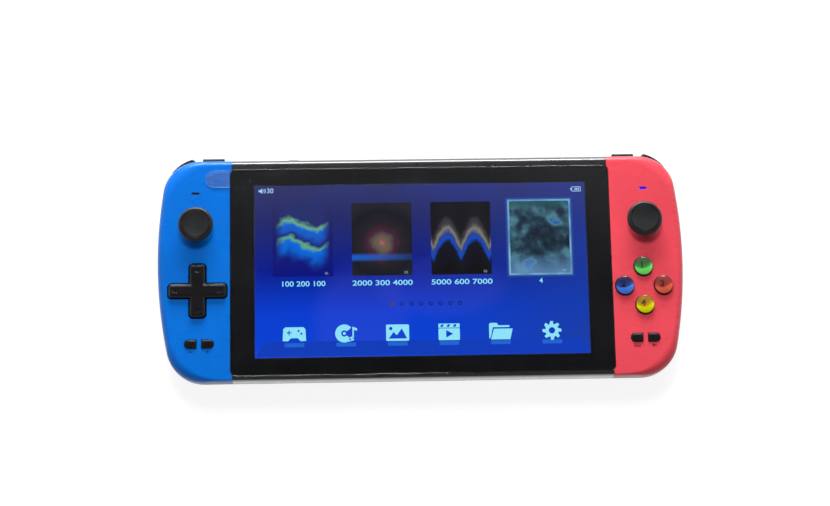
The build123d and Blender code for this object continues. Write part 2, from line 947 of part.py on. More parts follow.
def stick_cap(x, y):
    """Rubber cap: dust dome, neck and round disc."""
    z = stick_pivot_z
    centre = Pos(x, y, z)
    dome = centre * Sphere(stick_dome_r) - centre * Sphere(stick_dome_r - stick_dome_t)
    rim_z = z + stick_dome_r * cos(radians(stick_dome_angle))
    r = stick_dome_r + 1
    dome &= block(x - r, x + r, y - r, y + r, rim_z, z + r)
    disc_z = stick_top_z - stick_disc_h
    disc = rod(x, y, disc_z, stick_top_z, stick_disc_r)
    disc = chamfer(disc.edges().group_by(Axis.Z)[0], disc_bevel)
    disc = fillet(disc.edges().group_by(Axis.Z)[-1], disc_round)
    for turn in range(4):
        arc = ring(0, 0, stick_top_z - groove_depth, stick_top_z + 1, groove_r + groove_w, groove_r)
        lane = block(groove_break, stick_disc_r, groove_break, stick_disc_r, 0, 2 * stick_top_z)
        lane = Rot(0, 0, 90 * turn) * lane
        disc -= Pos(x, y) * (arc & lane)
    dish_r = (dish_edge_r**2 + dish_depth**2) / (2 * dish_depth)
    disc -= Pos(x, y, stick_top_z - dish_depth + dish_r) * Sphere(dish_r)
    body = dome + rod(x, y, stick_boss_low_z, disc_z + weld, stick_neck_r) + disc
    top = stick_top_z - stick_disc_h / 2 - post_end
    return body - rod(x, y, stick_boss_low_z - 1, top + press_gap, stick_post_r + pin_gap / 2)


def direction_pad(x, y):
    """Cross that rocks on a ball under its middle."""
    body = prism(cross_shape(0), x, y, pad_flange_z, pad_top_z)
    body = chamfer(body.edges().group_by(Axis.Z)[-1], pad_bevel)
    body += prism(cross_shape(pad_flange), x, y, pad_flange_z, pad_flange_z + pad_flange_t)
    body += rod(x, y, pad_ball_z, pad_flange_z + weld, pad_hub_r)
    body -= Pos(x, y, pad_ball_z) * Sphere(pad_ball_r + pin_gap)
    for turn in range(4):
        arrow = make_face(Polyline(
            [(0, pad_mark * 0.6), (-pad_mark / 2, -pad_mark * 0.3), (pad_mark / 2, -pad_mark * 0.3)],
            close=True,
        ))
        span = pad_w if turn % 2 else pad_d
        shape = Rot(0, 0, 90 * turn) * Pos(0, span / 2 - pad_mark_in) * arrow
        body -= prism(shape, x, y, pad_top_z - pad_mark_depth, pad_top_z + 1)
    return body


def pad_ball(x, y):
    return Pos(x, y, pad_ball_z) * Sphere(pad_ball_r)


def pad_post(x, y):
    """Stands on the board and cups the ball from below."""
    top = pad_ball_z - pad_cup
    return rod(x, y, control_top_z, top, pad_post_r) - Pos(x, y, pad_ball_z) * Sphere(
        pad_ball_r + pin_gap
    )


def face_button(x, y):
    """Round domed button with a flange below the cover."""
    sphere_r = (button_r**2 + button_crown**2) / (2 * button_crown)
    body = rod(x, y, flange_top_z - flange_t, button_side_z + button_crown, button_r)
    body &= Pos(x, y, button_side_z + button_crown - sphere_r) * Sphere(sphere_r)
    body += rod(x, y, flange_top_z - flange_t, flange_top_z, button_r + button_flange)
    foot_z = flange_top_z - flange_t - button_stem_h
    return body + rod(x, y, foot_z, flange_top_z - flange_t, button_stem_r)


def small_key(x, y, turn):
    """D-shaped key with a flange and a stem."""
    low = flange_top_z - flange_t
    body = prism(key_shape(0), 0, 0, low, face_z + key_proud)
    body = fillet(body.edges().group_by(Axis.Z)[-1], key_round)
    body += prism(key_shape(key_flange), 0, 0, low, flange_top_z)
    body += rod(0, 0, low - key_stem_h, low, key_stem_r)
    return Pos(x, y) * Rot(0, 0, turn) * body


def light_lens(x, y):
    """Light pipe that fills a slot in the cover."""
    low = flange_top_z - flange_t
    body = prism(light_shape(0), x, y, low, face_z)
    body += prism(light_shape(light_flange), x, y, low, flange_top_z)
    return body + rod(x, y, control_top_z + led_h + press_gap, low, light_pipe_r)


def pad_membrane(x, y):
    """Silicone sheet with one dome under each arm, drawn at its pressed height."""
    arm_x = pad_w / 2 - pad_mark_in
    arm_y = pad_d / 2 - pad_mark_in
    body = rod(x, y, control_top_z, control_top_z + membrane_t, pad_w / 2)
    body -= rod(x, y, control_top_z - 1, control_top_z + 2, pad_post_r + pad_gap)
    sink = (max(arm_x, arm_y) + 2 * pad_dome_r) * sin(radians(pad_tilt)) + 3 * press_gap
    for dx, dy in ((arm_x, 0), (-arm_x, 0), (0, arm_y), (0, -arm_y)):
        body += rod(x + dx, y + dy, control_top_z, pad_flange_z - sink, pad_dome_r)
    return body


def dome_sheet(places, r, stem_low_z, travel):
    """Silicone sheet with a dome under each stem, drawn at its pressed height."""
    top = stem_low_z - travel - press_gap
    x0 = min(place[0] for place in places) - r - sheet_rim
    x1 = max(place[0] for place in places) + r + sheet_rim
    y0 = min(place[1] for place in places) - r - sheet_rim
    y1 = max(place[1] for place in places) + r + sheet_rim
    body = block(x0, x1, y0, y1, control_top_z, control_top_z + membrane_t)
    body = fillet(body.edges().filter_by(Axis.Z), r * 0.8)
    for place in places:
        body += rod(place[0], place[1], control_top_z, top, r)
    return body


def shoulder_button(side):
    """Straight inner shoulder button."""
    x0 = shoulder_x0
    x1 = shoulder_x0 + shoulder_w
    body = block(
        x0, x1, shoulder_seat_y, edge_top + shoulder_proud, shoulder_low_z, shoulder_high_z,
    )
    front = body.edges().group_by(Axis.Y)[-1]
    body = fillet(front, shoulder_round)
    body += block(
        x0 - shoulder_flange, x1 + shoulder_flange, shoulder_back_y, shoulder_seat_y,
        shoulder_low_z - shoulder_flange, shoulder_high_z + shoulder_flange,
    )
    return body if side > 0 else mirror(body, Plane.YZ)


def shoulder_lever(side):
    """Corner lever that turns on an upright pin at its outer end."""
    (px, py) = lever_pivot()[1]
    body = prism(lever_plan(), 0, 0, shoulder_low_z, shoulder_high_z)
    body -= rod(px, py, shoulder_low_z - 1, shoulder_high_z + 1, lever_pin_r + pin_gap)
    return body if side > 0 else mirror(body, Plane.YZ)


def lever_pins():
    (px, py) = lever_pivot()[1]
    high = shoulder_high_z + pin_hold
    return [rod(x, y, pin_low_z, high, lever_pin_r) for x, y in both_sides([(px, py)])]


def shoulder_keys():
    """Side-pressed contact keys behind the four shoulder buttons."""
    found = []
    straight_tip = shoulder_back_y - shoulder_travel - press_gap
    (cx, cy) = lever_pivot()[0]
    lever_tip = cy + corner_top_r - lever_depth - lever_sink - press_gap
    for x, tip in (
        (shoulder_x0 + shoulder_w / 2, straight_tip), (cx + lever_contact_in, lever_tip),
    ):
        back = tip - contact_tip_l
        body = block(
            x - contact_w / 2, x + contact_w / 2, back - contact_d, back,
            control_top_z, control_top_z + contact_h,
        )
        z = control_top_z + contact_h / 2
        stub = Pos(x, back + contact_tip_l / 2, z) * Rot(90, 0, 0)
        body += stub * Cylinder(contact_tip_r, contact_tip_l)
        found += [body, mirror(body, Plane.YZ)]
    return found


def control_board(side):
    """Board behind the controls of one grip."""
    inset = control_board_edge
    sheet = Solid.extrude(Face(outline(control_board_z, inset, inset, inset)), Vector(0, 0, board_t))
    x0 = glass_half_w + control_board_start
    body = Part() + sheet
    body &= block(x0, half_w, -body_h, body_h, control_board_z - 1, control_top_z + 1)
    for x, y in grip_bosses:
        body -= rod(x, y, 0, face_z, rear_boss_r + board_gap)
    for x, y in board_posts:
        body -= rod(x, y, 0, face_z, board_screw_r + screw_pass_gap)
    (px, py) = lever_pivot()[1]
    body -= rod(px, py, 0, face_z, pin_post_r + board_gap)
    cut = can_half + board_gap
    y0 = stick_y - cut
    body -= block(stick_x - cut, stick_x + cut, y0, stick_y + cut, 0, face_z)
    body += block(
        light_x - led_w / 2, light_x + led_w / 2, light_y - led_w / 4, light_y + led_w / 4,
        control_top_z, control_top_z + led_h,
    )
    body -= block(
        shoulder_x0 - shoulder_flange - board_gap, shoulder_x0 + shoulder_w + shoulder_flange + board_gap,
        shoulder_back_y - shoulder_travel - board_gap, edge_top, 0, face_z,
    )
    body += ribbon_plug(ribbon_x1 - plug_d, ribbon_x1, control_top_z)
    body -= ribbon_slot(ribbon_x1 - plug_d - 1, ribbon_x1 - plug_d * 0.3, control_top_z)
    return body if side > 0 else mirror(body, Plane.YZ)


def ribbon_plug(x0, x1, z):
    """Plug for a ribbon cable on a board's top at one height."""
    half = ribbon_w / 2 + plug_side
    return block(x0, x1, ribbon_y - half, ribbon_y + half, z, z + plug_h)


def ribbon_slot(x0, x1, z):
    """Mouth that a ribbon cable goes into, above a board's top."""
    half = ribbon_w / 2 + ribbon_play
    low = z + ribbon_lift
    return block(x0, x1, ribbon_y - half, ribbon_y + half, low, low + ribbon_t + ribbon_play)


def main_board():
    """Long board along the upper half, with its plugs and chips."""
    half = main_board_w / 2
    body = block(-half, half, main_board_y0, main_board_y1, main_board_z, main_top_z)
    body = fillet(body.edges().filter_by(Axis.Z), board_round)
    jack_y0 = edge_top - socket_set_back - phones_l - board_gap
    w = phones_w / 2 + board_gap
    body -= block(phones_x - w, phones_x + w, jack_y0, edge_top, 0, face_z)
    for x, y in both_sides(main_posts()):
        body -= rod(x, y, 0, face_z, board_screw_r + screw_pass_gap)
    for sign in (1, -1):
        outer = half - plug_in
        body += ribbon_plug(*sorted((sign * outer, sign * (outer - plug_d))), main_top_z)
        mouth = sorted((sign * half, sign * (outer - plug_d * 0.7)))
        body -= ribbon_slot(*mouth, main_top_z)
    for x, y, w, d, h in chips:
        body += block(x - w / 2, x + w / 2, y - d / 2, y + d / 2, main_top_z, main_top_z + h)
    return body


def shield():
    """Metal can over the main chip."""
    y0 = main_board_y0 + shield_in
    low = main_top_z
    half = shield_w / 2
    body = block(shield_x - half, shield_x + half, y0, y0 + shield_d, low, low + shield_h)
    t = shell_t
    return body - block(
        shield_x - half + t, shield_x + half - t, y0 + t, y0 + shield_d - t,
        low - 1, low + shield_h - t,
    )


def strip(points, y0, y1):
    """A thin flat cable along a bent line in the XZ plane."""
    path = FilletPolyline(*points, radius=ribbon_bend)
    profile = Plane.XZ * trace(path, line_width=ribbon_t)
    return Pos(0, y1) * extrude(profile, y1 - y0)


def ribbons():
    """Two ribbons to the control boards and one to the display panel."""
    x0 = main_board_w / 2 - plug_in - plug_d / 2
    rise = ribbon_lift + (ribbon_t + ribbon_play) / 2
    z0 = main_top_z + rise
    z1 = control_top_z + rise
    mid = (x0 + plug_d + ribbon_x1 - plug_d) / 2
    bends = [(mid - ribbon_slope, z0), (mid + ribbon_slope, z1)]
    points = [(x0, z0)] + bends + [(ribbon_x1 - plug_d / 2, z1)]
    right = strip(points, ribbon_y - ribbon_w / 2, ribbon_y + ribbon_w / 2)
    flex_z1 = panel_z - ribbon_t / 2
    flex_z0 = main_top_z + ribbon_t / 2
    bend_x = flex_x + flex_run
    flex = [(flex_x, flex_z1), (bend_x, flex_z1)]
    flex += [(bend_x + flex_slope, flex_z0), (bend_x + flex_slope + flex_run, flex_z0)]
    tail = strip(flex, main_board_y0 + flex_in, main_board_y0 + flex_in + ribbon_w)
    return [right, mirror(right, Plane.YZ), tail]


def battery():
    y0 = edge_bottom + battery_edge
    low = grip_drop + wall + press_gap
    body = block(-battery_w / 2, battery_w / 2, y0, y0 + battery_d, low, low + battery_h)
    return fillet(body.edges().filter_by(Axis.X), battery_round)


def battery_leads():
    """Two short insulated wires from the battery to the main board."""
    y0 = edge_bottom + battery_edge + battery_d
    z0 = grip_drop + wall + battery_h / 2
    z1 = main_top_z + lead_r + press_gap
    y1 = main_board_y0 + lead_run
    wires = []
    for x in (lead_x, lead_x + 3 * lead_r):
        bends = [(x, y0 + lead_straight, z0), (x, y0 + lead_straight + lead_slope, z1)]
        path = FilletPolyline((x, y0, z0), *bends, (x, y1, z1), radius=lead_bend)
        profile = Plane(origin=(x, y0, z0), z_dir=(0, 1, 0)) * Circle(lead_r)
        wires.append(sweep(profile, path=path))
    return wires


def speaker(side):
    x = side * speaker_x
    low = floor_z + speaker_lift
    w = speaker_w / 2
    d = speaker_d / 2
    body = block(x - w, x + w, speaker_y - d, speaker_y + d, low, low + speaker_h)
    body = fillet(body.edges().filter_by(Axis.Z), speaker_round)
    body += rod(x, speaker_y, low, low + speaker_h + magnet_h, magnet_r)
    well = SlotOverall(speaker_d - 2 * speaker_rim, speaker_w - 2 * speaker_rim, 90)
    return body - prism(well, x, speaker_y, low - 1, low + speaker_well)


def shell_socket(x, w, h, length, tongue_h, round_r):
    """Thin metal socket shell with its tongue, open to the upper edge."""
    y1 = edge_top - socket_set_back
    y0 = y1 - length
    z = main_top_z + h / 2
    body = block(x - w / 2, x + w / 2, y0, y1, main_top_z, main_top_z + h)
    body = fillet(body.edges().filter_by(Axis.Y), round_r)
    t = shell_t
    hole = block(x - w / 2 + t, x + w / 2 - t, y0 + socket_back, y1 + 1, z - h / 2 + t, z + h / 2 - t)
    hole = fillet(hole.edges().filter_by(Axis.Y), round_r - t)
    body -= hole
    half = w / 2 - tongue_in
    return body + block(
        x - half, x + half, y0 + tongue_root, y1 - socket_back, z - tongue_h / 2, z + tongue_h / 2,
    )


def phones_socket():
    y1 = edge_top - socket_set_back
    y0 = y1 - phones_l
    half_h = phones_h / 2
    body = block(
        phones_x - phones_w / 2, phones_x + phones_w / 2, y0, y1 - wall - socket_wall_gap,
        phones_z - half_h, phones_z + half_h,
    )
    nose_l = wall + socket_wall_gap
    at = Pos(phones_x, y1 - nose_l / 2, phones_z) * Rot(90, 0, 0)
    body += at * Cylinder(phones_nose_r, nose_l)
    middle = Pos(phones_x, (y0 + y1) / 2, phones_z) * Rot(90, 0, 0)
    return body - middle * Cylinder(phones_r, phones_l + 1)


def card_holder():
    """Flat metal holder for a memory card."""
    y1 = edge_top - wall - socket_wall_gap
    half = card_w / 2
    z = main_top_z + card_slot_h
    body = block(
        card_x - half - card_side, card_x + half + card_side, y1 - card_l, y1, main_top_z,
        main_top_z + card_body_h,
    )
    return body - block(
        card_x - half, card_x + half, y1 - card_l + card_back, y1 + 1,
        z - card_slot_h / 2, z + card_slot_h / 2,
    )


def power_base():
    y1 = edge_top - wall - power_seat - flange_t - press_gap
    half = power_base_w / 2
    top = power_z + power_knob_h / 2 + power_cheek
    body = block(power_x - half, power_x + half, y1 - power_base_d, y1, main_top_z, top)
    gap = power_lever / 2 + power_lever_gap
    return body - block(
        power_x - gap, power_x + power_travel + gap, y1 - power_base_d * 0.6, y1 + 1,
        power_z - gap, power_z + gap,
    )


def power_slider():
    """Knob in the upper edge with a guide plate and a lever into its base."""
    w = power_knob_w / 2
    h = power_knob_h / 2
    plate_y = edge_top - wall - power_seat
    body = block(
        power_x - w, power_x + w, plate_y - weld, edge_top + power_proud, power_z - h, power_z + h,
    )
    for index in range(-1, 2):
        x = power_x + index * rib_pitch
        low_y = edge_top + power_proud - rib_depth
        body -= block(x - rib_cut / 2, x + rib_cut / 2, low_y, edge_top + 2, 0, face_z)
    body += block(
        power_x - w - power_flange, power_x + w + power_flange, plate_y - flange_t, plate_y,
        power_z - h - power_flange_rise, power_z + h + power_flange_rise,
    )
    r = power_lever / 2
    return body + block(
        power_x - r, power_x + r, plate_y - flange_t - power_base_d * 0.4, plate_y - flange_t,
        power_z - r, power_z + r,
    )


def screw(x, y, seat_z, up, length, r, head_r, head_h):
    """A screw with a cross recess: up is 1 when it points up and -1 when down."""
    ends = sorted((seat_z, seat_z + up * length))
    head = sorted((seat_z, seat_z - up * head_h))
    body = rod(x, y, ends[0], ends[1], r) + rod(x, y, head[0], head[1], head_r)
    tip = seat_z - up * head_h
    cut = sorted((tip - up, tip + up * head_h * cross_depth))
    arm = head_r * cross_reach
    t = head_r * cross_half
    body -= block(x - arm, x + arm, y - t, y + t, cut[0], cut[1])
    return body - block(x - t, x + t, y - arm, y + arm, cut[0], cut[1])


def rear_screws():
    spots = both_sides(grip_bosses + centre_bosses)
    return [
        screw(x, y, screw_seat_z, 1, screw_l, screw_r, screw_head_r, screw_head_h)
        for x, y in spots
    ]


def board_screws():
    found = []
    sizes = (board_screw_r, board_screw_head_r, board_screw_head_h)
    for x, y in both_sides(board_posts):
        length = board_t + board_screw_l - screw_tip_gap
        found.append(screw(x, y, control_board_z, 1, length, *sizes))
    for x, y in both_sides(main_posts()):
        length = board_t + board_screw_l - screw_tip_gap
        found.append(screw(x, y, main_top_z, -1, length, *sizes))
    return found


# Case, glass and panel
shell = front_shell()
save("centre_front_frame", centre_frame(shell))
save("left_front_cover", side_cover(shell, -1))
save("right_front_cover", side_cover(shell, 1))
save("rear_cover", rear_cover())
save("display_glass", glass())
save("border_mask", mask())
save("protective_film", film())
save("display_panel", panel())

# Thumbsticks
for side, word in ((-1, "left"), (1, "right")):
    spot = (side * stick_x, stick_y)
    save(f"{word}_stick_housing", stick_can(*spot))
    save(f"{word}_stick_carrier", stick_carrier(*spot))
    save(f"{word}_stick_yoke", stick_yoke(*spot))
    save(f"{word}_stick_stem", stick_stem(*spot))
    save(f"{word}_stick_cap", stick_cap(*spot))

# Direction pad
save("direction_pad", direction_pad(-pad_x, pad_y))
save("pad_ball", pad_ball(-pad_x, pad_y))
save("pad_post", pad_post(-pad_x, pad_y))
save("pad_membrane", pad_membrane(-pad_x, pad_y))

# Face buttons
button_names = ("top_button", "left_button", "right_button", "bottom_button")
for name, spot in zip(button_names, button_places()):
    save(name, face_button(*spot))
button_low_z = flange_top_z - flange_t - button_stem_h
save("button_membrane", dome_sheet(button_places(), button_stem_r + 0.6, button_low_z, button_travel))

# Small keys
key_low_z = flange_top_z - flange_t - key_stem_h
for side, word, names in (
    (-1, "left", ("volume_down_key", "volume_up_key")), (1, "right", ("start_key", "select_key")),
):
    places = key_places(side)
    for name, place in zip(names, places):
        save(name, small_key(*place))
    save(f"{word}_key_membrane", dome_sheet(places, key_stem_r + 0.4, key_low_z, key_travel))

# Lights, shoulder buttons, boards and speakers
for side, word in ((-1, "left"), (1, "right")):
    save(f"{word}_light_lens", light_lens(side * light_x, light_y))
    save(f"{word}_shoulder_button", shoulder_button(side))
    save(f"{word}_shoulder_lever", shoulder_lever(side))
    save(f"{word}_control_board", control_board(side))
    save(f"{word}_speaker", speaker(side))
save("lever_pins", *lever_pins())
save("shoulder_contacts", *shoulder_keys())
save("main_board", main_board())
save("chip_shield", shield())
save("ribbon_cables", *ribbons())
save("battery_pack", battery())
save("battery_leads", *battery_leads())

# Sockets, slider and screws
usb_round = usb_h / 2 - press_gap
save("usb_socket", shell_socket(usb_x, usb_w, usb_h, usb_l, usb_tongue_h, usb_round))
save("video_socket", shell_socket(video_x, video_w, video_h, video_l, video_tongue_h, video_round))
save("headphone_socket", phones_socket())
save("card_holder", card_holder())
save("power_base", power_base())
save("power_slider", power_slider())
save("rear_screws", *rear_screws())
save("board_screws", *board_screws())
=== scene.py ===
import json
import math

import bmesh
import bpy
from mathutils import Matrix, Vector

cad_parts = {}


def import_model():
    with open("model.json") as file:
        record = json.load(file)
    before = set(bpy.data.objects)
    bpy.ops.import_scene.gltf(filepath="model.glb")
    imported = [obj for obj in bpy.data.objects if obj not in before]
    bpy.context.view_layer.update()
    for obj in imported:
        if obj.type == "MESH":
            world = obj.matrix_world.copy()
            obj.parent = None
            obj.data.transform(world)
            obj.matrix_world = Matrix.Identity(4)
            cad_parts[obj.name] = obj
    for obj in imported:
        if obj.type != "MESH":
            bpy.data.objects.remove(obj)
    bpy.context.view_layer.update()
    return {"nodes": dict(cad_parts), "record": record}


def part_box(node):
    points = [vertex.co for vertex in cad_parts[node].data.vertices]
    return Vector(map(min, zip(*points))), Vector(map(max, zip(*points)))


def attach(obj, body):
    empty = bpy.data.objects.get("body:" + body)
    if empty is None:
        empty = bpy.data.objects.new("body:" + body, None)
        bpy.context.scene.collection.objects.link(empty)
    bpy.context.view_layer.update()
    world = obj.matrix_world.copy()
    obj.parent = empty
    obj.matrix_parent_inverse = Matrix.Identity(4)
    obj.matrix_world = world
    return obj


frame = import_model()

# A handheld game console lying on its back, its screen lit.
# Everything is in metres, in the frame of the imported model.
MM = 0.001

# Camera
CAMERA_TILT = math.radians(12.55)
CAMERA_PAN = math.radians(-1.85)
CAMERA_ROLL = math.radians(-1.206)
CAMERA_DISTANCE = 0.993
CAMERA_AIM = Vector((-2.93, 5.38, 21.0)) * MM
CAMERA_LENS = 91.07
SENSOR_W = 36.0

# Parts of the construction that the looks are set out from
PANEL_BORDER = 3.2 * MM
TAB_W = 21.3 * MM
TAB_H = 8.8 * MM
TAB_DROP = 4.6 * MM
TAB_FOLD = 2.3 * MM
# Width of the pale strips of painted highlight along the film tab's edge
TAB_HIGHLIGHT_W = 0.3 * MM
PRINT_LIFT = 0.02 * MM
PAD_W = 27.2 * MM
PAD_D = 25.4 * MM
ARROW = 2.2 * MM
ARROW_IN = 3.1 * MM
ARROW_DEPTH = 0.3 * MM
GROOVE_R = 6.35 * MM
GROOVE_W = 0.5 * MM
GROOVE_DEPTH = 0.3 * MM
GROOVE_BREAK = 7.2
FIGURE_H = 3.1 * MM
FIGURE_BOLD = 0.1 * MM
FIGURE_SHIFT = Vector((-0.9, 0.4, 0.0)) * MM
DOME_R = 4.4 * MM
DOME_CROWN = 1.1 * MM

# Display: the pitch and the glow of its lit dots, the step between the layers of its
# picture, and the air beside its clear sheets
DOT_PITCH = 0.16 * MM
DOT_GLOW = 1.15
LAYER = 0.01 * MM
AIR_GAP = 0.005 * MM

# Height of a figure as a share of the size of its text
FIGURE_SHARE = 0.72

# Brightness of the room by the height looked at, from the horizon to straight up. It falls
# off from the far side to the near one, and reflections lose the white backdrop with height.
# A falloff is a range of directions and the values at its two ends.
ROOM_LEVELS = ((0.0, 0.42), (0.3, 0.42), (0.9, 0.26), (0.958, 0.24), (0.972, 0.07), (0.99, 0.03))
NEAR_FALLOFF = (-0.7, 0.2, 0.35, 1.0)
BACKDROP_FALLOFF = (0.1, 0.35, 1.0, 0.0)

# Lamps: where they aim, and the watts per square metre that a brightness of 1 takes
LAMP_AIM = Vector((0, 0, 0.02))
LAMP_WATTS = 4

# Floor: its half width, its height just under the object, and its brightness
FLOOR_HALF = 6.0
FLOOR_Z = -0.05 * MM
FLOOR_MATT = 0.5
FLOOR_SHADOWED = 0.24
FLOOR_GLOW = 0.88

# Colours as they are seen, from 0 to 255
BLUE_GRIP = (0, 110, 213)
RED_GRIP = (234, 75, 89)
CASE_BLACK = (26, 27, 30)
FRAME_BLACK = (34, 35, 39)
RUBBER_BLACK = (24, 25, 29)
KEY_BLACK = (13, 13, 17)
PALE_CYAN = (150, 236, 255)
PALE_BLUE = (176, 214, 255)
# Milky tint of the film tab, and the pale colour of its strips of painted highlight
PALE_HAZE_AND_HIGHLIGHT = (110, 188, 255)


def linear(colour):
    """A colour of 0 to 255 as it is seen, as the four linear values that a shader takes."""
    values = []
    for part in colour:
        share = part / 255
        values.append(share / 12.92 if share <= 0.04045 else ((share + 0.055) / 1.055) ** 2.4)
    return (*values, 1.0)


def shaded(colour, factor):
    """A lighter or darker version of a colour."""
    return tuple(min(255, part * factor) for part in colour)


class Graph:
    """The nodes of a material or of the world, and short calls that add to them."""

    def __init__(self, owner, place=None):
        owner.use_nodes = True
        self.nodes = owner.node_tree.nodes
        self.links = owner.node_tree.links
        if place:
            self.place = self.nodes.new("ShaderNodeTexCoord").outputs[place]

    def scale(self, source, stops):
        """Linear colours, each as a place from 0 to 1 and its four values, read by a value."""
        node = self.nodes.new("ShaderNodeValToRGB")
        marks = node.color_ramp.elements
        while len(marks) < len(stops):
            marks.new(0.5)
        for mark, (at, colour) in zip(marks, stops):
            mark.position = at
            mark.color = colour
        self.links.new(source, node.inputs["Fac"])
        return node.outputs["Color"]

    def between(self, source, low, high, out_low=0.0, out_high=1.0):
        """A value mapped from one range to another and held at its ends."""
        node = self.nodes.new("ShaderNodeMapRange")
        for socket, value in zip(node.inputs[1:5], (low, high, out_low, out_high)):
            socket.default_value = value
        self.links.new(source, node.inputs["Value"])
        return node.outputs["Result"]

    def axis(self, name):
        """One coordinate of the place on the piece, or of the direction looked in."""
        node = self.nodes.new("ShaderNodeSeparateXYZ")
        self.links.new(self.place, node.inputs[0])
        return node.outputs[name]

    def maths(self, operation, first, second=0.0):
        """One sum on two values, each a socket or a number."""
        node = self.nodes.new("ShaderNodeMath")
        node.operation = operation
        for socket, value in zip(node.inputs, (first, second)):
            if isinstance(value, (int, float)):
                socket.default_value = value
            else:
                self.links.new(value, socket)
        return node.outputs[0]

    def share(self, name, middle, reach):
        """One coordinate, counted from a middle in shares of a reach."""
        return self.maths("DIVIDE", self.maths("SUBTRACT", self.axis(name), middle), reach)

    def length(self, across, up):
        """Length of a line that goes this far across and this far up."""
        squares = self.maths("ADD", self.maths("MULTIPLY", across, across), self.maths("MULTIPLY", up, up))
        return self.maths("SQRT", squares)

    def light(self, kind, **sockets):
        """A plain shader, each of its inputs a number, a colour or a socket."""
        node = self.nodes.new(kind)
        for name, value in sockets.items():
            if isinstance(value, (int, float, tuple)):
                node.inputs[name].default_value = value
            else:
                self.links.new(value, node.inputs[name])
        return node.outputs[0]

    def joined(self, kind, *sources):
        """A node that puts shaders together, its inputs linked in their order."""
        node = self.nodes.new(kind)
        for socket, source in zip(node.inputs, sources):
            self.links.new(source, socket)
        return node.outputs[0]

    def end(self, kind, source):
        """Give a shader to the output of the material or of the world."""
        self.links.new(source, self.nodes.new(kind).inputs["Surface"])


class Finish(Graph):
    """One material under construction, with the main shader that its calls add to."""

    def __init__(self, name):
        self.material = bpy.data.materials.new(name)
        super().__init__(self.material, "Object")
        self.shader = self.nodes["Principled BSDF"]

    def set(self, **sockets):
        for name, value in sockets.items():
            self.shader.inputs[name.replace("_", " ")].default_value = value

    def link(self, source, target):
        socket = self.shader.inputs[target] if isinstance(target, str) else target
        self.links.new(source, socket)

    def noise(self, size, detail=2.0, stretch=(1, 1, 1)):
        """Cloudy noise whose patches are about the given size."""
        source = self.place
        if stretch != (1, 1, 1):
            scaled = self.nodes.new("ShaderNodeMapping")
            scaled.inputs["Scale"].default_value = stretch
            self.links.new(source, scaled.inputs["Vector"])
            source = scaled.outputs[0]
        node = self.nodes.new("ShaderNodeTexNoise")
        node.inputs["Scale"].default_value = 1 / size
        node.inputs["Detail"].default_value = detail
        self.links.new(source, node.inputs["Vector"])
        return node.outputs["Fac"]

    def cells(self, size, feature="F1"):
        """A pattern of cells of about the given size: its distances and colours."""
        node = self.nodes.new("ShaderNodeTexVoronoi")
        node.feature = feature
        node.inputs["Scale"].default_value = 1 / size
        self.links.new(self.place, node.inputs["Vector"])
        return node.outputs

    def ramp(self, source, *stops):
        """Colours, each as a place from 0 to 1 and a colour of 0 to 255, read by a value."""
        return self.scale(source, [(at, linear(colour)) for at, colour in stops])

    def blend(self, share, first, second, how="MIX"):
        """Two colours mixed by a share. Each is a socket or a colour of 0 to 255."""
        node = self.nodes.new("ShaderNodeMix")
        node.data_type = "RGBA"
        node.blend_type = how
        sockets = [node.inputs[0], node.inputs[6], node.inputs[7]]
        for socket, value in zip(sockets, (share, first, second)):
            if isinstance(value, tuple):
                socket.default_value = linear(value)
            elif isinstance(value, (int, float)):
                socket.default_value = value
            else:
                self.links.new(value, socket)
        return node.outputs[2]

    def bump(self, *heights, rounding=0.0):
        """Surface relief from heights, each as a value, its depth and its strength."""
        normal = None
        if rounding:
            edge = self.nodes.new("ShaderNodeBevel")
            edge.samples = 4
            edge.inputs["Radius"].default_value = rounding
            normal = edge.outputs[0]
        for height, depth, strength in heights:
            node = self.nodes.new("ShaderNodeBump")
            node.inputs["Distance"].default_value = depth
            node.inputs["Strength"].default_value = strength
            self.links.new(height, node.inputs["Height"])
            if normal:
                self.links.new(normal, node.inputs["Normal"])
            normal = node.outputs[0]
        self.link(normal, "Normal")


def moulded(
    name, colour, roughness=0.45, grain=0.35 * MM, depth=0.02 * MM, mottle=0.05,
    coat=0.0, shine=0.5, edge=0.12 * MM,
):
    """Moulded plastic: fine grain, slight clouds in its colour and polish, soft edges."""
    finish = Finish(name)
    clouds = finish.noise(26 * MM, detail=3.0)
    low = shaded(colour, 1 - mottle)
    high = shaded(colour, 1 + mottle)
    finish.link(finish.ramp(clouds, (0.3, low), (0.7, high)), "Base Color")
    smears = finish.noise(9 * MM, detail=4.0, stretch=(1, 2.2, 1))
    rough = finish.between(smears, 0.3, 0.7, roughness - 0.05, roughness + 0.05)
    finish.link(rough, "Roughness")
    grit = finish.noise(grain, detail=1.0)
    finish.bump((grit, depth, 0.35), rounding=edge)
    finish.set(Coat_Weight=coat, Coat_Roughness=0.12, Specular_IOR_Level=shine)
    return finish.material


def grip(name, colour):
    """Satin plastic of a coloured front cover, with well rounded edges."""
    return moulded(name, colour, roughness=0.3, depth=0.006 * MM, mottle=0.03, shine=0.3, edge=0.4 * MM)


def rubber(name, colour):
    """Soft-touch rubber with a dusty sheen and a fine pebbled grain."""
    finish = Finish(name)
    dust = finish.noise(5 * MM, detail=5.0)
    tone = finish.ramp(dust, (0.35, shaded(colour, 0.9)), (0.75, shaded(colour, 1.15)))
    finish.link(tone, "Base Color")
    finish.link(finish.between(dust, 0.3, 0.7, 0.38, 0.5), "Roughness")
    pebbles = finish.noise(0.22 * MM, detail=1.0)
    finish.bump((pebbles, 0.02 * MM, 0.5), rounding=0.15 * MM)
    finish.set(Sheen_Weight=0.05, Sheen_Roughness=0.5)
    return finish.material


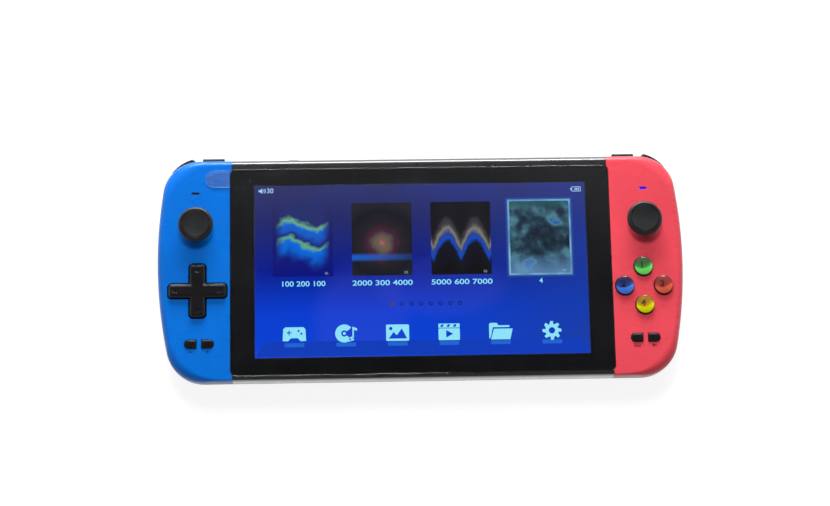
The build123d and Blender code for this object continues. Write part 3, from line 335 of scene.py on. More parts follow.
def metal(name, colour, roughness=0.3, brush=(1, 14, 14)):
    """Plated sheet metal with fine drawn lines and cloudy polish."""
    finish = Finish(name)
    lines = finish.noise(1.2 * MM, detail=4.0, stretch=brush)
    finish.link(finish.ramp(lines, (0.3, shaded(colour, 0.86)), (0.7, colour)), "Base Color")
    finish.link(finish.between(lines, 0.3, 0.7, roughness - 0.08, roughness + 0.1), "Roughness")
    finish.bump((lines, 0.01 * MM, 0.3), rounding=0.08 * MM)
    finish.set(Metallic=1.0)
    return finish.material


def clear_sheet(name, ior, tint):
    """Clear glass or film with faint smears in its polish."""
    finish = Finish(name)
    smears = finish.noise(14 * MM, detail=3.0)
    finish.link(finish.between(smears, 0.45, 0.75, 0.0, 0.03), "Roughness")
    finish.set(Base_Color=linear(tint), IOR=ior, Transmission_Weight=1.0)
    return finish.material


def haze_and_highlight(name, colour, alpha):
    """Thin milky layer on clear film, with faint wipe marks; also used for pale strips of painted
    highlight.
    """
    finish = Finish(name)
    marks = finish.noise(2 * MM, detail=4.0, stretch=(1, 3, 1))
    finish.link(finish.ramp(marks, (0.3, shaded(colour, 0.9)), (0.7, colour)), "Base Color")
    finish.link(finish.between(marks, 0.3, 0.7, 0.25, 0.4), "Roughness")
    finish.set(Alpha=alpha, Specular_IOR_Level=0.2)
    return finish.material


def resin_with_painted_light(name, node, dark, middle, bright):
    """Tinted clear button with painted light: deep colour above, a painted pool of gathered light in its
    lower part, and painted shade at its rim.
    """
    low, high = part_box(node)
    centre = (low + high) / 2
    finish = Finish(name)
    across = finish.share("X", centre.x, DOME_R)
    up = finish.share("Y", centre.y, DOME_R)
    bow = finish.maths("MULTIPLY", finish.maths("MULTIPLY", across, across), 0.45)
    tilt = finish.maths("MULTIPLY", across, -0.18)
    level = finish.maths("ADD", finish.maths("SUBTRACT", up, bow), tilt)
    swirl = finish.maths("MULTIPLY", finish.noise(2.5 * MM), 0.16)
    level = finish.maths("ADD", level, swirl)
    height = finish.between(level, -1.1, 1.0)
    # Painted light: the colour runs from the bright colour low on the dome, a painted pool of gathered
    # light, up to the deep colour above.
    body = finish.ramp(height, (0.0, bright), (0.36, bright), (0.46, middle), (0.66, dark))
    # Painted shade: the rim darkens towards a darker copy of the deep colour.
    rim = finish.between(finish.length(across, up), 0.9, 1.0)
    finish.link(finish.blend(rim, body, shaded(dark, 0.6)), "Base Color")
    finish.bump((finish.noise(1.5 * MM), 0.01 * MM, 0.15), rounding=0.25 * MM)
    finish.set(Roughness=0.08, Specular_IOR_Level=0.45)
    finish.set(Subsurface_Weight=0.9, Subsurface_Scale=2.5 * MM)
    return finish.material


def lit(name, colour):
    """Light of one hue from the display."""
    return glowing(Finish(name), colour)


def dot_grid(finish):
    """A faint grid at the display's dot pitch, as a colour to multiply by."""
    waves = []
    for name in ("X", "Y"):
        turn = finish.maths("MULTIPLY", finish.axis(name), 2 * math.pi / DOT_PITCH)
        waves.append(finish.maths("SINE", turn))
    both = finish.maths("ADD", waves[0], waves[1])
    level = finish.between(both, -2.0, 2.0)
    return finish.ramp(level, (0.0, (232, 236, 240)), (1.0, (255, 255, 255)))


def printed(name, colour):
    """Pad-printed ink, slightly worn. It also makes the dark sheets of painted shade on the floors of
    recesses.
    """
    finish = Finish(name)
    wear = finish.noise(0.6 * MM, detail=3.0)
    tone = finish.ramp(wear, (0.3, shaded(colour, 0.85)), (0.8, shaded(colour, 1.2)))
    finish.link(tone, "Base Color")
    finish.link(finish.between(wear, 0.3, 0.7, 0.4, 0.55), "Roughness")
    finish.bump((wear, 0.005 * MM, 0.3))
    return finish.material


def board(name):
    """Circuit board: solder mask over a net of copper tracks, with tinned pads."""
    finish = Finish(name)
    net = finish.cells(3.2 * MM, "DISTANCE_TO_EDGE")
    tracks = finish.between(net["Distance"], 0.04, 0.07, 1.0, 0.0)
    pads = finish.cells(2.4 * MM)
    dots = finish.between(pads["Distance"], 0.16, 0.2, 1.0, 0.0)
    mask = finish.blend(tracks, (16, 74, 44), (30, 112, 66))
    finish.link(finish.blend(dots, mask, (196, 190, 176)), "Base Color")
    finish.link(finish.between(dots, 0.0, 1.0, 0.32, 0.2), "Roughness")
    finish.link(finish.maths("MULTIPLY", dots, 0.9), "Metallic")
    finish.bump((tracks, 0.03 * MM, 0.4))
    return finish.material


def wrapped(name, colour):
    """Crinkled wrap of a battery."""
    finish = Finish(name)
    folds = finish.noise(6 * MM, detail=6.0, stretch=(1, 3, 1))
    finish.link(finish.ramp(folds, (0.3, shaded(colour, 0.85)), (0.7, colour)), "Base Color")
    finish.link(finish.between(folds, 0.3, 0.7, 0.25, 0.45), "Roughness")
    finish.bump((folds, 0.2 * MM, 0.5))
    finish.set(Metallic=0.6)
    return finish.material


def indicator(name, colour, hot):
    """Lit lens of the right-hand indicator, hottest over its lamp at the inner end."""
    low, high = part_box("right_light_lens")
    finish = Finish(name)
    flare = finish.between(finish.axis("X"), low.x + 0.3 * MM, low.x + 1.3 * MM, 1.0, 0.0)
    finish.link(finish.blend(flare, colour, hot), "Emission Color")
    finish.set(Base_Color=linear((4, 6, 60)), Emission_Strength=1.0)
    finish.set(Roughness=0.25, Specular_IOR_Level=0.2)
    finish.bump((finish.noise(0.5 * MM), 0.01 * MM, 0.3))
    return finish.material


finishes = {
    "body_black": moulded("body_black", CASE_BLACK, roughness=0.5, grain=0.5 * MM, depth=0.04 * MM),
    "frame_black": moulded(
        "frame_black", FRAME_BLACK, roughness=0.3, depth=0.003 * MM, coat=1.0, edge=0.3 * MM,
    ),
    "grip_blue": grip("grip_blue", BLUE_GRIP),
    "grip_red": grip("grip_red", RED_GRIP),
    "clear_glass": clear_sheet("clear_glass", 1.45, (250, 252, 252)),
    "clear_film": clear_sheet("clear_film", 1.25, (250, 251, 253)),
    "mask_black": moulded("mask_black", (15, 16, 21), roughness=0.5, depth=0.004 * MM, shine=0.1),
    "lit_panel": moulded("lit_panel", (18, 20, 30), roughness=0.4),
    "stick_rubber": rubber("stick_rubber", RUBBER_BLACK),
    "pad_plastic": moulded(
        "pad_plastic", KEY_BLACK, roughness=0.3, grain=0.3 * MM, depth=0.008 * MM, edge=1.3 * MM,
    ),
    # Each button's three colours run from painted shade above through a middle tone to painted light
    # below.
    "clear_green": resin_with_painted_light("clear_green", "top_button", (62, 98, 62), (70, 158, 74), (136, 253, 124)),
    "clear_blue": resin_with_painted_light("clear_blue", "left_button", (36, 40, 84), (48, 66, 150), (90, 152, 254)),
    "clear_red": resin_with_painted_light("clear_red", "right_button", (132, 54, 52), (176, 66, 54), (250, 118, 84)),
    "clear_yellow": resin_with_painted_light("clear_yellow", "bottom_button", (152, 114, 36), (204, 168, 10), (255, 255, 2)),
    "silicone": rubber("silicone", (150, 152, 156)),
    "lens_dark": moulded("lens_dark", (14, 22, 34), roughness=0.2, depth=0.004 * MM, coat=0.6),
    "lens_blue": indicator("lens_blue", (6, 14, 255), (40, 200, 255)),
    "board_green": board("board_green"),
    "shell_metal": metal("shell_metal", (198, 200, 204)),
    "screw_steel": metal("screw_steel", (120, 122, 128), roughness=0.35),
    "cell_wrap": wrapped("cell_wrap", (120, 126, 140)),
    "lead_red": rubber("lead_red", (180, 30, 28)),
    "ribbon_tan": wrapped("ribbon_tan", (176, 120, 58)),
    "speaker_black": moulded("speaker_black", (30, 30, 32), roughness=0.6),
    "inner_white": moulded("inner_white", (222, 222, 218), roughness=0.4),
}
for part in frame["record"]["subparts"]:
    for slot in frame["nodes"][part["node"]].material_slots:
        slot.material = finishes[part["material_slot"]]


def loosen(node):
    """Let a clear sheet stand a hair off what it touches, so that light passes between."""
    shrink = frame["nodes"][node].modifiers.new("air", "DISPLACE")
    shrink.mid_level = 0.0
    shrink.strength = -AIR_GAP


loosen("display_glass")
loosen("protective_film")


def piece(name, mesh, material, body="case"):
    """Put a mesh into the scene as a piece that rides on a body."""
    thing = bpy.data.objects.new(name, mesh)
    bpy.context.scene.collection.objects.link(thing)
    mesh.materials.clear()
    mesh.materials.append(material)
    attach(thing, body)


def flat_piece(name, loops, place, material, body="case", scale=1.0):
    """Put a flat shape at a place on the object, as a piece that rides on a body."""
    mesh = curve_mesh(name, loops)
    mesh.transform(Matrix.Translation(place) @ Matrix.Scale(scale, 4))
    piece(name, mesh, material, body)


def curve_mesh(name, loops):
    """A flat mesh from closed outlines; an outline inside another is a hole."""
    curve = bpy.data.curves.new(name, "CURVE")
    curve.dimensions = "2D"
    curve.fill_mode = "BOTH"
    for loop in loops:
        line = curve.splines.new("POLY")
        line.points.add(len(loop) - 1)
        for point, (x, y) in zip(line.points, loop):
            point.co = (x, y, 0, 1)
        line.use_cyclic_u = True
    return as_mesh(name, curve)


def as_mesh(name, curve):
    """A curve or a text turned into a mesh of its own."""
    holder = bpy.data.objects.new(name + "_outline", curve)
    bpy.context.scene.collection.objects.link(holder)
    bpy.context.view_layer.update()
    shown = holder.evaluated_get(bpy.context.evaluated_depsgraph_get())
    mesh = bpy.data.meshes.new_from_object(shown)
    mesh.name = name
    bpy.data.objects.remove(holder)
    bpy.data.curves.remove(curve)
    return mesh


def text_mesh(name, words, size, bold=0.0):
    """Plain figures as a flat mesh, centred on the origin."""
    curve = bpy.data.curves.new(name, "FONT")
    curve.body = words
    curve.size = size
    curve.offset = bold
    curve.align_x = "CENTER"
    curve.align_y = "CENTER"
    return as_mesh(name, curve)


def arc(x, y, r, start, end, steps=24):
    """Points along a circle, with angles in degrees."""
    found = []
    for step in range(steps + 1):
        angle = math.radians(start + (end - start) * step / steps)
        found.append((x + r * math.cos(angle), y + r * math.sin(angle)))
    return found


def circle(x, y, r):
    """Points along a whole circle."""
    return arc(x, y, r, 0, 360)[:-1]


def oblong(x0, x1, y0, y1):
    """The four corners of a rectangle."""
    return [(x0, y0), (x1, y0), (x1, y1), (x0, y1)]


def rounded(x0, x1, y0, y1, r):
    """A rectangle with round corners."""
    corners = ((x1 - r, y1 - r, 0), (x0 + r, y1 - r, 90), (x0 + r, y0 + r, 180), (x1 - r, y0 + r, 270))
    found = []
    for x, y, start in corners:
        found += arc(x, y, r, start, start + 90, steps=5)
    return found


# The display's picture, set out in millimetres from the lit area's upper left corner
panel_low, panel_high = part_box("display_panel")
lit_left = panel_low.x + PANEL_BORDER
lit_right = panel_high.x - PANEL_BORDER
lit_top = panel_high.y - PANEL_BORDER
lit_bottom = panel_low.y + PANEL_BORDER
lit_w = (lit_right - lit_left) / MM
lit_h = (lit_top - lit_bottom) / MM


def show(name, loops, material, layer, at=(0.0, 0.0)):
    """Show a flat shape of the picture. Its outlines are in millimetres, up and to the right."""
    mesh = curve_mesh(name, loops)
    lay(name, mesh, material, layer, at)


def lay(name, mesh, material, layer, at):
    """Lay a flat mesh drawn in millimetres on the display, its origin at a place on it."""
    place = Vector((lit_left + at[0] * MM, lit_top - at[1] * MM, panel_high.z + layer * LAYER))
    mesh.transform(Matrix.Translation(place) @ Matrix.Scale(MM, 4))
    piece(name, mesh, material)


def glowing(finish, colour):
    """Make a finish give out a colour, broken into the panel's rows and columns of dots."""
    source = finish.blend(1.0, colour, dot_grid(finish), how="MULTIPLY")
    finish.set(Base_Color=(0, 0, 0, 1), Roughness=0.6, Specular_IOR_Level=0.0)
    finish.set(Emission_Strength=DOT_GLOW)
    finish.link(source, "Emission Color")
    return finish.material


def on_picture(finish, at, reach):
    """Two shares of a reach, across and up, counted from a place on the picture in millimetres."""
    x = lit_left + at[0] * MM
    y = lit_top - at[1] * MM
    return finish.share("X", x, reach[0] * MM), finish.share("Y", y, reach[1] * MM)


# Soft lighter swells of the ground, painted reflections on the glass: place, reach across and up, and how
# strong they are
REFLECTION_SWELLS = (((50, 66), (22, 28), 0.12), ((88, 50), (30, 14), 0.12), ((28, 84), (30, 8), 0.16))


def backdrop():
    """The picture's blue ground: greyer and darker above, bright blue below, with soft lighter swells of
    painted reflection.
    """
    finish = Finish("ground_blue")
    down = finish.between(finish.axis("Y"), lit_top, lit_bottom)
    left = finish.ramp(
        down, (0.0, (50, 53, 104)), (0.2, (36, 42, 108)), (0.5, (0, 26, 142)), (0.75, (0, 62, 212)),
        (1.0, (4, 68, 216)),
    )
    right = finish.ramp(
        down, (0.0, (46, 56, 128)), (0.25, (28, 50, 136)), (0.7, (16, 56, 166)), (1.0, (27, 62, 160)),
    )
    along = finish.between(finish.axis("X"), lit_left, lit_right)
    both = finish.blend(finish.between(along, 0.5, 1.0), left, right)
    # Painted reflection: each swell lightens the ground towards a pale violet.
    for at, reach, share in REFLECTION_SWELLS:
        away = finish.length(*on_picture(finish, at, reach))
        painted_reflection = finish.between(away, 0.8, 1.15, share, 0.0)
        both = finish.blend(painted_reflection, both, (84, 92, 220))
    patches = finish.noise(60 * MM, detail=2.0)
    both = finish.blend(finish.between(patches, 0.5, 0.8, 0.0, 0.25), both, (0, 70, 214))
    show("picture_ground", [oblong(0, lit_w, 0, -lit_h)], glowing(finish, both), 2)


# Row of tiles on the picture, in millimetres: their number, size, pitch, first place and
# the height of their middles, how much the chosen one is grown, its border and its glow
TILES = 4
TILE_W = 28.5
TILE_H = 35.3
TILE_PITCH = 37.47
TILE_FIRST = 22.7
TILE_MIDDLE = 26.6
TILE_GROWN = 0.65
TILE_ROUND = 0.4
BORDER_W = 0.75
BORDER_ROUND = 0.2
HALO_W = 1.3

# The small number in each tile's lower right corner
NUMBER_H = 1.7
NUMBER_IN = 3.0
NUMBER_UP = 1.3


def tile_places():
    """Middles of the tiles, from left to right."""
    return [(TILE_FIRST + TILE_PITCH * index, TILE_MIDDLE) for index in range(TILES)]


def tile_picture(index, place):
    """Abstract cover picture of one tile, made of soft shapes in its own few colours."""
    finish = Finish(f"cover_{index + 1}")
    across, up = on_picture(finish, place, (TILE_W / 2, TILE_H / 2))
    colour = (cover_ribbons, cover_rings, cover_peaks, cover_mosaic)[index](finish, across, up)
    return glowing(finish, colour)


def cover_ribbons(finish, across, up):
    """Two soft blue ribbons with pale green upper edges, afloat on a dark blue ground."""
    height = finish.between(up, -1.0, 1.0)
    ground = finish.ramp(height, (0.0, (2, 14, 128)), (0.5, (22, 26, 108)), (1.0, (44, 46, 98)))
    wander = finish.maths("MULTIPLY", finish.noise(6 * MM), 0.42)
    swing = finish.maths("MULTIPLY", finish.maths("SINE", finish.maths("MULTIPLY", across, 3.6)), 0.13)
    level = finish.maths("ADD", finish.maths("ADD", up, swing), wander)
    bands = finish.ramp(
        finish.between(level, -0.5, 1.05),
        (0.0, (12, 24, 116)), (0.22, (0, 98, 214)), (0.33, (16, 110, 218)),
        (0.40, (104, 176, 130)), (0.46, (30, 40, 120)), (0.56, (24, 90, 200)),
        (0.66, (20, 100, 210)), (0.73, (112, 180, 140)), (0.80, (40, 48, 110)),
    )
    ends = finish.between(finish.maths("ABSOLUTE", across), 0.62, 0.9, 1.0, 0.0)
    feet = finish.between(level, -0.5, -0.2)
    return finish.blend(finish.maths("MULTIPLY", ends, feet), ground, bands)


def cover_rings(finish, across, up):
    """Warm rings round a low sun, over a dark ground with one blue band."""
    lower = finish.maths("ADD", up, 0.12)
    wide = finish.maths("MULTIPLY", across, 0.8)
    ruffle = finish.maths("MULTIPLY", finish.noise(5 * MM), 0.22)
    ruffled = finish.maths("ADD", finish.length(wide, lower), ruffle)
    warm = finish.ramp(
        finish.between(ruffled, 0.0, 1.3),
        (0.0, (168, 124, 116)), (0.14, (134, 88, 82)), (0.24, (96, 92, 74)), (0.36, (74, 34, 60)),
        (0.5, (40, 34, 40)), (0.75, (24, 25, 34)), (1.0, (38, 37, 44)),
    )
    beside = finish.maths("ABSOLUTE", finish.maths("ADD", up, 0.5))
    band = finish.between(beside, 0.04, 0.12, 0.8, 0.0)
    fade = finish.between(across, -0.9, 0.9, 1.0, 0.25)
    return finish.blend(finish.maths("MULTIPLY", band, fade), warm, (22, 104, 214))


def cover_peaks(finish, across, up):
    """Blue slopes under a pale olive ridge, on a near-black ground."""
    fold = finish.maths("ABSOLUTE", finish.maths("SINE", finish.maths("MULTIPLY", across, 3.4)))
    ridge = finish.maths("SUBTRACT", up, finish.maths("MULTIPLY", fold, 0.55))
    rough = finish.maths("ADD", ridge, finish.maths("MULTIPLY", finish.noise(4 * MM), 0.25))
    return finish.ramp(
        finish.between(rough, -1.2, 0.9),
        (0.0, (14, 12, 18)), (0.30, (18, 20, 34)), (0.38, (20, 76, 196)), (0.44, (44, 64, 134)),
        (0.50, (132, 128, 112)), (0.56, (70, 66, 70)), (0.66, (26, 25, 30)), (1.0, (20, 20, 24)),
    )


def cover_mosaic(finish, across, up):
    """Teal and slate facets with soft joins, lighter towards the foot."""
    drift = finish.noise(3 * MM, detail=3.0)
    tone = finish.nodes.new("ShaderNodeSeparateColor")
    finish.links.new(finish.cells(6.5 * MM, "SMOOTH_F1")["Color"], tone.inputs[0])
    sway = finish.maths("MULTIPLY", finish.maths("SUBTRACT", drift, 0.5), 0.8)
    facets = finish.ramp(
        finish.maths("ADD", tone.outputs[0], sway),
        (0.1, (22, 34, 48)), (0.35, (36, 60, 78)), (0.55, (58, 96, 112)), (0.75, (84, 132, 142)),
        (0.9, (40, 96, 170)),
    )
    foot = finish.between(up, -0.95, -0.45, 0.6, 0.0)
    head = finish.between(up, 0.78, 0.9, 0.0, 0.7)
    return finish.blend(head, finish.blend(foot, facets, (110, 160, 206)), (38, 92, 96))


def framed_tile():
    """Pale border and faint glow round the chosen tile."""
    at = tile_places()[-1]
    halo = Finish("tile_halo")
    x = lit_left + at[0] * MM
    y = lit_top - at[1] * MM
    w = TILE_W / 2 + TILE_GROWN
    h = TILE_H / 2 + TILE_GROWN
    side = halo.maths("ABSOLUTE", halo.maths("SUBTRACT", halo.axis("X"), x))
    head = halo.maths("ABSOLUTE", halo.maths("SUBTRACT", halo.axis("Y"), y))
    beside = halo.maths("SUBTRACT", side, w * MM)
    above = halo.maths("SUBTRACT", head, h * MM)
    away = halo.between(halo.maths("MAXIMUM", beside, above), 0.0, HALO_W * MM)
    glow = halo.ramp(away, (0.0, (72, 120, 176)), (0.4, (44, 74, 160)), (1.0, (27, 51, 138)))
    reach_w = w + HALO_W
    reach_h = h + HALO_W
    outline = rounded(-reach_w, reach_w, -reach_h, reach_h, HALO_W)
    show("tile_halo", [outline], glowing(halo, glow), 3, at)
    inner = rounded(BORDER_W - w, w - BORDER_W, BORDER_W - h, h - BORDER_W, BORDER_ROUND)
    border = Finish("tile_border")
    shine = border.ramp(border.noise(9 * MM), (0.35, (92, 142, 184)), (0.65, (136, 192, 222)))
    show("tile_border", [rounded(-w, w, -h, h, TILE_ROUND), inner], glowing(border, shine), 5, at)


def tiles():
    """Row of tiles, the last one chosen, each with a small number in its corner."""
    for index, place in enumerate(tile_places()):
        grown = TILE_GROWN if index == TILES - 1 else 0.0
        w = TILE_W / 2 + grown
        h = TILE_H / 2 + grown
        outline = rounded(-w, w, -h, h, TILE_ROUND)
        show(f"tile_{index + 1}", [outline], tile_picture(index, place), 4, place)
    framed_tile()
    ink = lit("tile_number_light", (150, 190, 170))
    for index, place in enumerate(tile_places()):
        at = (place[0] + TILE_W / 2 - NUMBER_IN, place[1] + TILE_H / 2 - NUMBER_UP)
        name = f"tile_number_{index + 1}"
        lay(name, text_mesh(name, f"0{index + 1}", NUMBER_H), ink, 6, at)


# Line of figures under the tiles: how far down it is and how high its figures are
LINE_Y = 47.9
LINE_H = 2.5


def captions():
    """A plain number under each tile, as wide as a line of words."""
    ink = lit("caption_light", PALE_CYAN)
    lines = (("100 200 100", 20.3), ("2000 300 4000", 28.4), ("5000 600 7000", 28.8), ("4", 1.6))
    for index, (figures, width) in enumerate(lines):
        name = f"caption_{index + 1}"
        mesh = text_mesh(name, figures, LINE_H / FIGURE_SHARE, bold=0.05)
        x_values = [point.co.x for point in mesh.vertices]
        stretch = width / (max(x_values) - min(x_values))
        mesh.transform(Matrix.Scale(stretch, 4, (1, 0, 0)))
        lay(name, mesh, ink, 4, (tile_places()[index][0], LINE_Y))


# Row of page marks, each a ring whose hole is a share of its radius
PAGES = 8
PAGE_FIRST = 64.4
PAGE_PITCH = 4.58
PAGE_Y = 58.07
PAGE_R = 0.95
PAGE_HOLE = 0.62


def page_dots():
    """Dark rings for the pages, the first one filled."""
    ring_ink = lit("page_ring", (10, 22, 92))
    first_ink = lit("page_first", (84, 70, 84))
    for index in range(PAGES):
        at = (PAGE_FIRST + PAGE_PITCH * index, PAGE_Y)
        loops = [circle(0, 0, PAGE_R), circle(0, 0, PAGE_R * PAGE_HOLE)]
        show(f"page_ring_{index + 1}", loops, ring_ink, 4, at)
    show("page_first", [circle(0, 0, PAGE_R)], first_ink, 5, (PAGE_FIRST, PAGE_Y))


# Row of icons, the shelf that it stands on and the faint mirror marks on the shelf
ICON_FIRST = 18.4
ICON_PITCH = 24.2
ICON_Y = 71.8
SHELF_TOP = 75.4
SHELF_IN = 4.2
SHELF_EDGE = 0.4
MIRROR_HALF = 4.6
MIRROR_TOP = 4.3
MIRROR_FOOT = 6.2


def icon_pad():
    """Game controller: a wide body on two feet, a cross and two round keys."""
    body = [(-5.2, 2.4), (-4.2, 3.3), (4.2, 3.3), (5.2, 2.4), (5.5, -3.2), (3.0, -3.4)]
    body += [(1.6, -1.9), (-1.6, -1.9), (-3.0, -3.4), (-5.5, -3.2)]
    cross = [(-3.6, 0.9), (-2.7, 0.9), (-2.7, 1.8), (-2.2, 1.8), (-2.2, 0.9), (-1.3, 0.9)]
    cross += [(-1.3, 0.4), (-2.2, 0.4), (-2.2, -0.5), (-2.7, -0.5), (-2.7, 0.4), (-3.6, 0.4)]
    return [body, cross, circle(2.0, 1.5, 0.5), circle(3.3, 0.2, 0.5)]


def icon_music():
    """Disc with a note beside it."""
    disc = arc(-0.8, 0, 4.3, 40, 320) + arc(-0.8, 0, 1.5, 320, 40)
    note = [(3.0, 3.2), (5.2, 2.4), (5.2, 1.2), (3.7, 1.7), (3.7, -2.6), (3.0, -2.6)]
    return [disc, note, circle(2.6, -2.7, 1.1), circle(-0.8, 0, 0.7)]


def icon_picture():
    """Framed landscape with a round sun and two peaks."""
    peaks = [(-4.2, -2.8), (-1.9, 0.4), (-0.4, -1.2), (2.0, 2.0), (4.4, -2.8)]
    return [rounded(-5.4, 5.4, -3.9, 3.9, 0.6), peaks, circle(-3.2, 2.0, 0.8)]


def icon_film():
    """Film frame with a play mark and a striped bar above."""
    stripes = []
    for index in range(3):
        x = -3.6 + index * 3.0
        stripes.append([(x, 3.6), (x + 1.2, 3.6), (x + 0.6, 2.4), (x - 0.6, 2.4)])
    play = [(-1.4, 0.9), (-1.4, -2.7), (1.9, -0.9)]
    return [rounded(-5.0, 5.0, -3.9, 1.7, 0.4), play, rounded(-5.0, 5.0, 2.0, 4.0, 0.3)] + stripes


def icon_folder():
    """Open folder."""
    back = [(-5.4, -3.6), (-5.4, 3.4), (-4.8, 4.0), (-1.8, 4.0), (-0.9, 2.8), (4.2, 2.8)]
    back += [(4.2, 1.9), (-3.6, 1.9), (-4.6, -2.6)]
    front = [(-4.6, -3.9), (-3.1, 1.2), (5.7, 1.2), (4.5, -3.9)]
    return [back, front]


def icon_gear():
    """Toothed wheel with a round hole."""
    teeth = 8
    pitch = 360 / teeth
    rim = []
    for index in range(teeth):
        middle = pitch * index
        rim += arc(0, 0, 3.1, middle - pitch / 2, middle - 13, steps=3)
        rim += arc(0, 0, 4.5, middle - 8, middle + 8, steps=3)
    return [rim, circle(0, 0, 1.5)]


def icons():
    """Row of pale pictograms above a lighter shelf that mirrors them faintly."""
    ink = lit("icon_light", PALE_CYAN)
    ghost = lit("icon_mirror", (34, 104, 214))
    shelf = lit("shelf_light", (14, 62, 190))
    back = [(SHELF_IN, -SHELF_TOP), (lit_w - SHELF_IN, -SHELF_TOP)]
    front = [(lit_w - SHELF_EDGE, SHELF_EDGE - lit_h), (SHELF_EDGE, SHELF_EDGE - lit_h)]
    show("icon_shelf", [back + front], shelf, 3)
    mirror = oblong(-MIRROR_HALF, MIRROR_HALF, -MIRROR_TOP, -MIRROR_FOOT)
    drawings = (icon_pad(), icon_music(), icon_picture(), icon_film(), icon_folder(), icon_gear())
    for index, loops in enumerate(drawings):
        at = (ICON_FIRST + ICON_PITCH * index, ICON_Y)
        show(f"icon_{index + 1}", loops, ink, 5, at)
        show(f"icon_mirror_{index + 1}", [mirror], ghost, 4, at)


def status_line():
    """Loudspeaker mark with its level above on the left, and a battery mark on the right."""
    ink = lit("status_light", PALE_BLUE)
    cone = [(-1.5, 0.5), (-0.7, 0.5), (0.3, 1.4), (0.3, -1.4), (-0.7, -0.5), (-1.5, -0.5)]
    near = arc(0.3, 0, 0.9, -50, 50, 8) + arc(0.3, 0, 0.6, 50, -50, 8)
    far = arc(0.3, 0, 1.6, -50, 50, 8) + arc(0.3, 0, 1.25, 50, -50, 8)
    show("speaker_mark", [cone, near, far], ink, 4, (3.5, 2.5))
    lay("speaker_level", text_mesh("speaker_level", "30", 3.3, bold=0.04), ink, 4, (7.4, 2.5))
    cell = [rounded(-1.9, 2.5, -1.2, 1.2, 0.3), rounded(-1.6, 2.2, -0.9, 0.9, 0.1)]
    tip = [rounded(-2.5, -1.95, -0.5, 0.5, 0.1)]
    bars = [rounded(-0.4 + 0.8 * index, 0.1 + 0.8 * index, -0.6, 0.6, 0.05) for index in range(3)]
    show("battery_mark", cell + tip + bars, ink, 4, (153.0, 3.4))


backdrop()
tiles()
captions()
page_dots()
icons()
status_line()


def button_figures():
    """A plain figure on each face button, wrapped onto its dome."""
    sphere_r = (DOME_R**2 + DOME_CROWN**2) / (2 * DOME_CROWN)
    inks = {
        "top_button": ("1", (14, 40, 18)), "left_button": ("2", (8, 10, 34)),
        "right_button": ("3", (62, 16, 18)), "bottom_button": ("4", (66, 50, 6)),
    }
    for node, (figure, colour) in inks.items():
        low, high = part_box(node)
        centre = (low + high) / 2
        name = node + "_figure"
        mesh = text_mesh(name, figure, FIGURE_H / FIGURE_SHARE, bold=FIGURE_BOLD)
        shape = bmesh.new()
        shape.from_mesh(mesh)
        bmesh.ops.triangulate(shape, faces=shape.faces)
        bmesh.ops.subdivide_edges(shape, edges=shape.edges, cuts=3, use_grid_fill=True)
        bmesh.ops.triangulate(shape, faces=shape.faces)
        for point in shape.verts:
            flat = point.co + FIGURE_SHIFT
            drop = sphere_r - math.sqrt(sphere_r**2 - flat.x**2 - flat.y**2)
            point.co = Vector((centre.x + flat.x, centre.y + flat.y, high.z - drop + PRINT_LIFT))
        shape.to_mesh(mesh)
        shape.free()
        finish = Finish(name)
        wear = finish.noise(0.8 * MM)
        tone = finish.ramp(wear, (0.3, shaded(colour, 0.9)), (0.8, shaded(colour, 1.3)))
        finish.link(tone, "Base Color")
        finish.set(Roughness=0.15, Coat_Weight=1.0, Coat_Roughness=0.02)
        piece(name, mesh, finish.material, body=node)


# Marks under the small keys, in millimetres: how far below, half length and half thickness
MARK_DROP = 1.0
MARK_HALF = 0.9
MARK_THIN = 0.18


def key_marks():
    """Small printed marks under the four small keys."""
    far, thin = MARK_HALF, MARK_THIN
    minus = [oblong(-far, far, -thin, thin)]
    plus = [[
        (-far, -thin), (-thin, -thin), (-thin, -far), (thin, -far), (thin, -thin), (far, -thin),
        (far, thin), (thin, thin), (thin, far), (-thin, far), (-thin, thin), (-far, thin),
    ]]
    bars = [oblong(-1.6, 1.6, y - 0.16, y + 0.16) for y in (-0.6, 0.0, 0.6)]
    arrow = [[(-1.0, 0.9), (-1.0, -0.9), (1.2, 0.0)]]
    blue_ink = printed("mark_on_blue", (8, 46, 104))
    red_ink = printed("mark_on_red", (134, 34, 44))
    for node, loops, ink in (
        ("volume_down_key", minus, blue_ink), ("volume_up_key", plus, blue_ink),
        ("select_key", bars, red_ink), ("start_key", arrow, red_ink),
    ):
        low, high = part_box(node)
        cover = "left_front_cover" if high.x < 0 else "right_front_cover"
        face_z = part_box(cover)[1].z
        place = ((low.x + high.x) / 2, low.y - MARK_DROP * MM, face_z + PRINT_LIFT)
        flat_piece(node + "_mark", loops, place, ink, scale=MM)


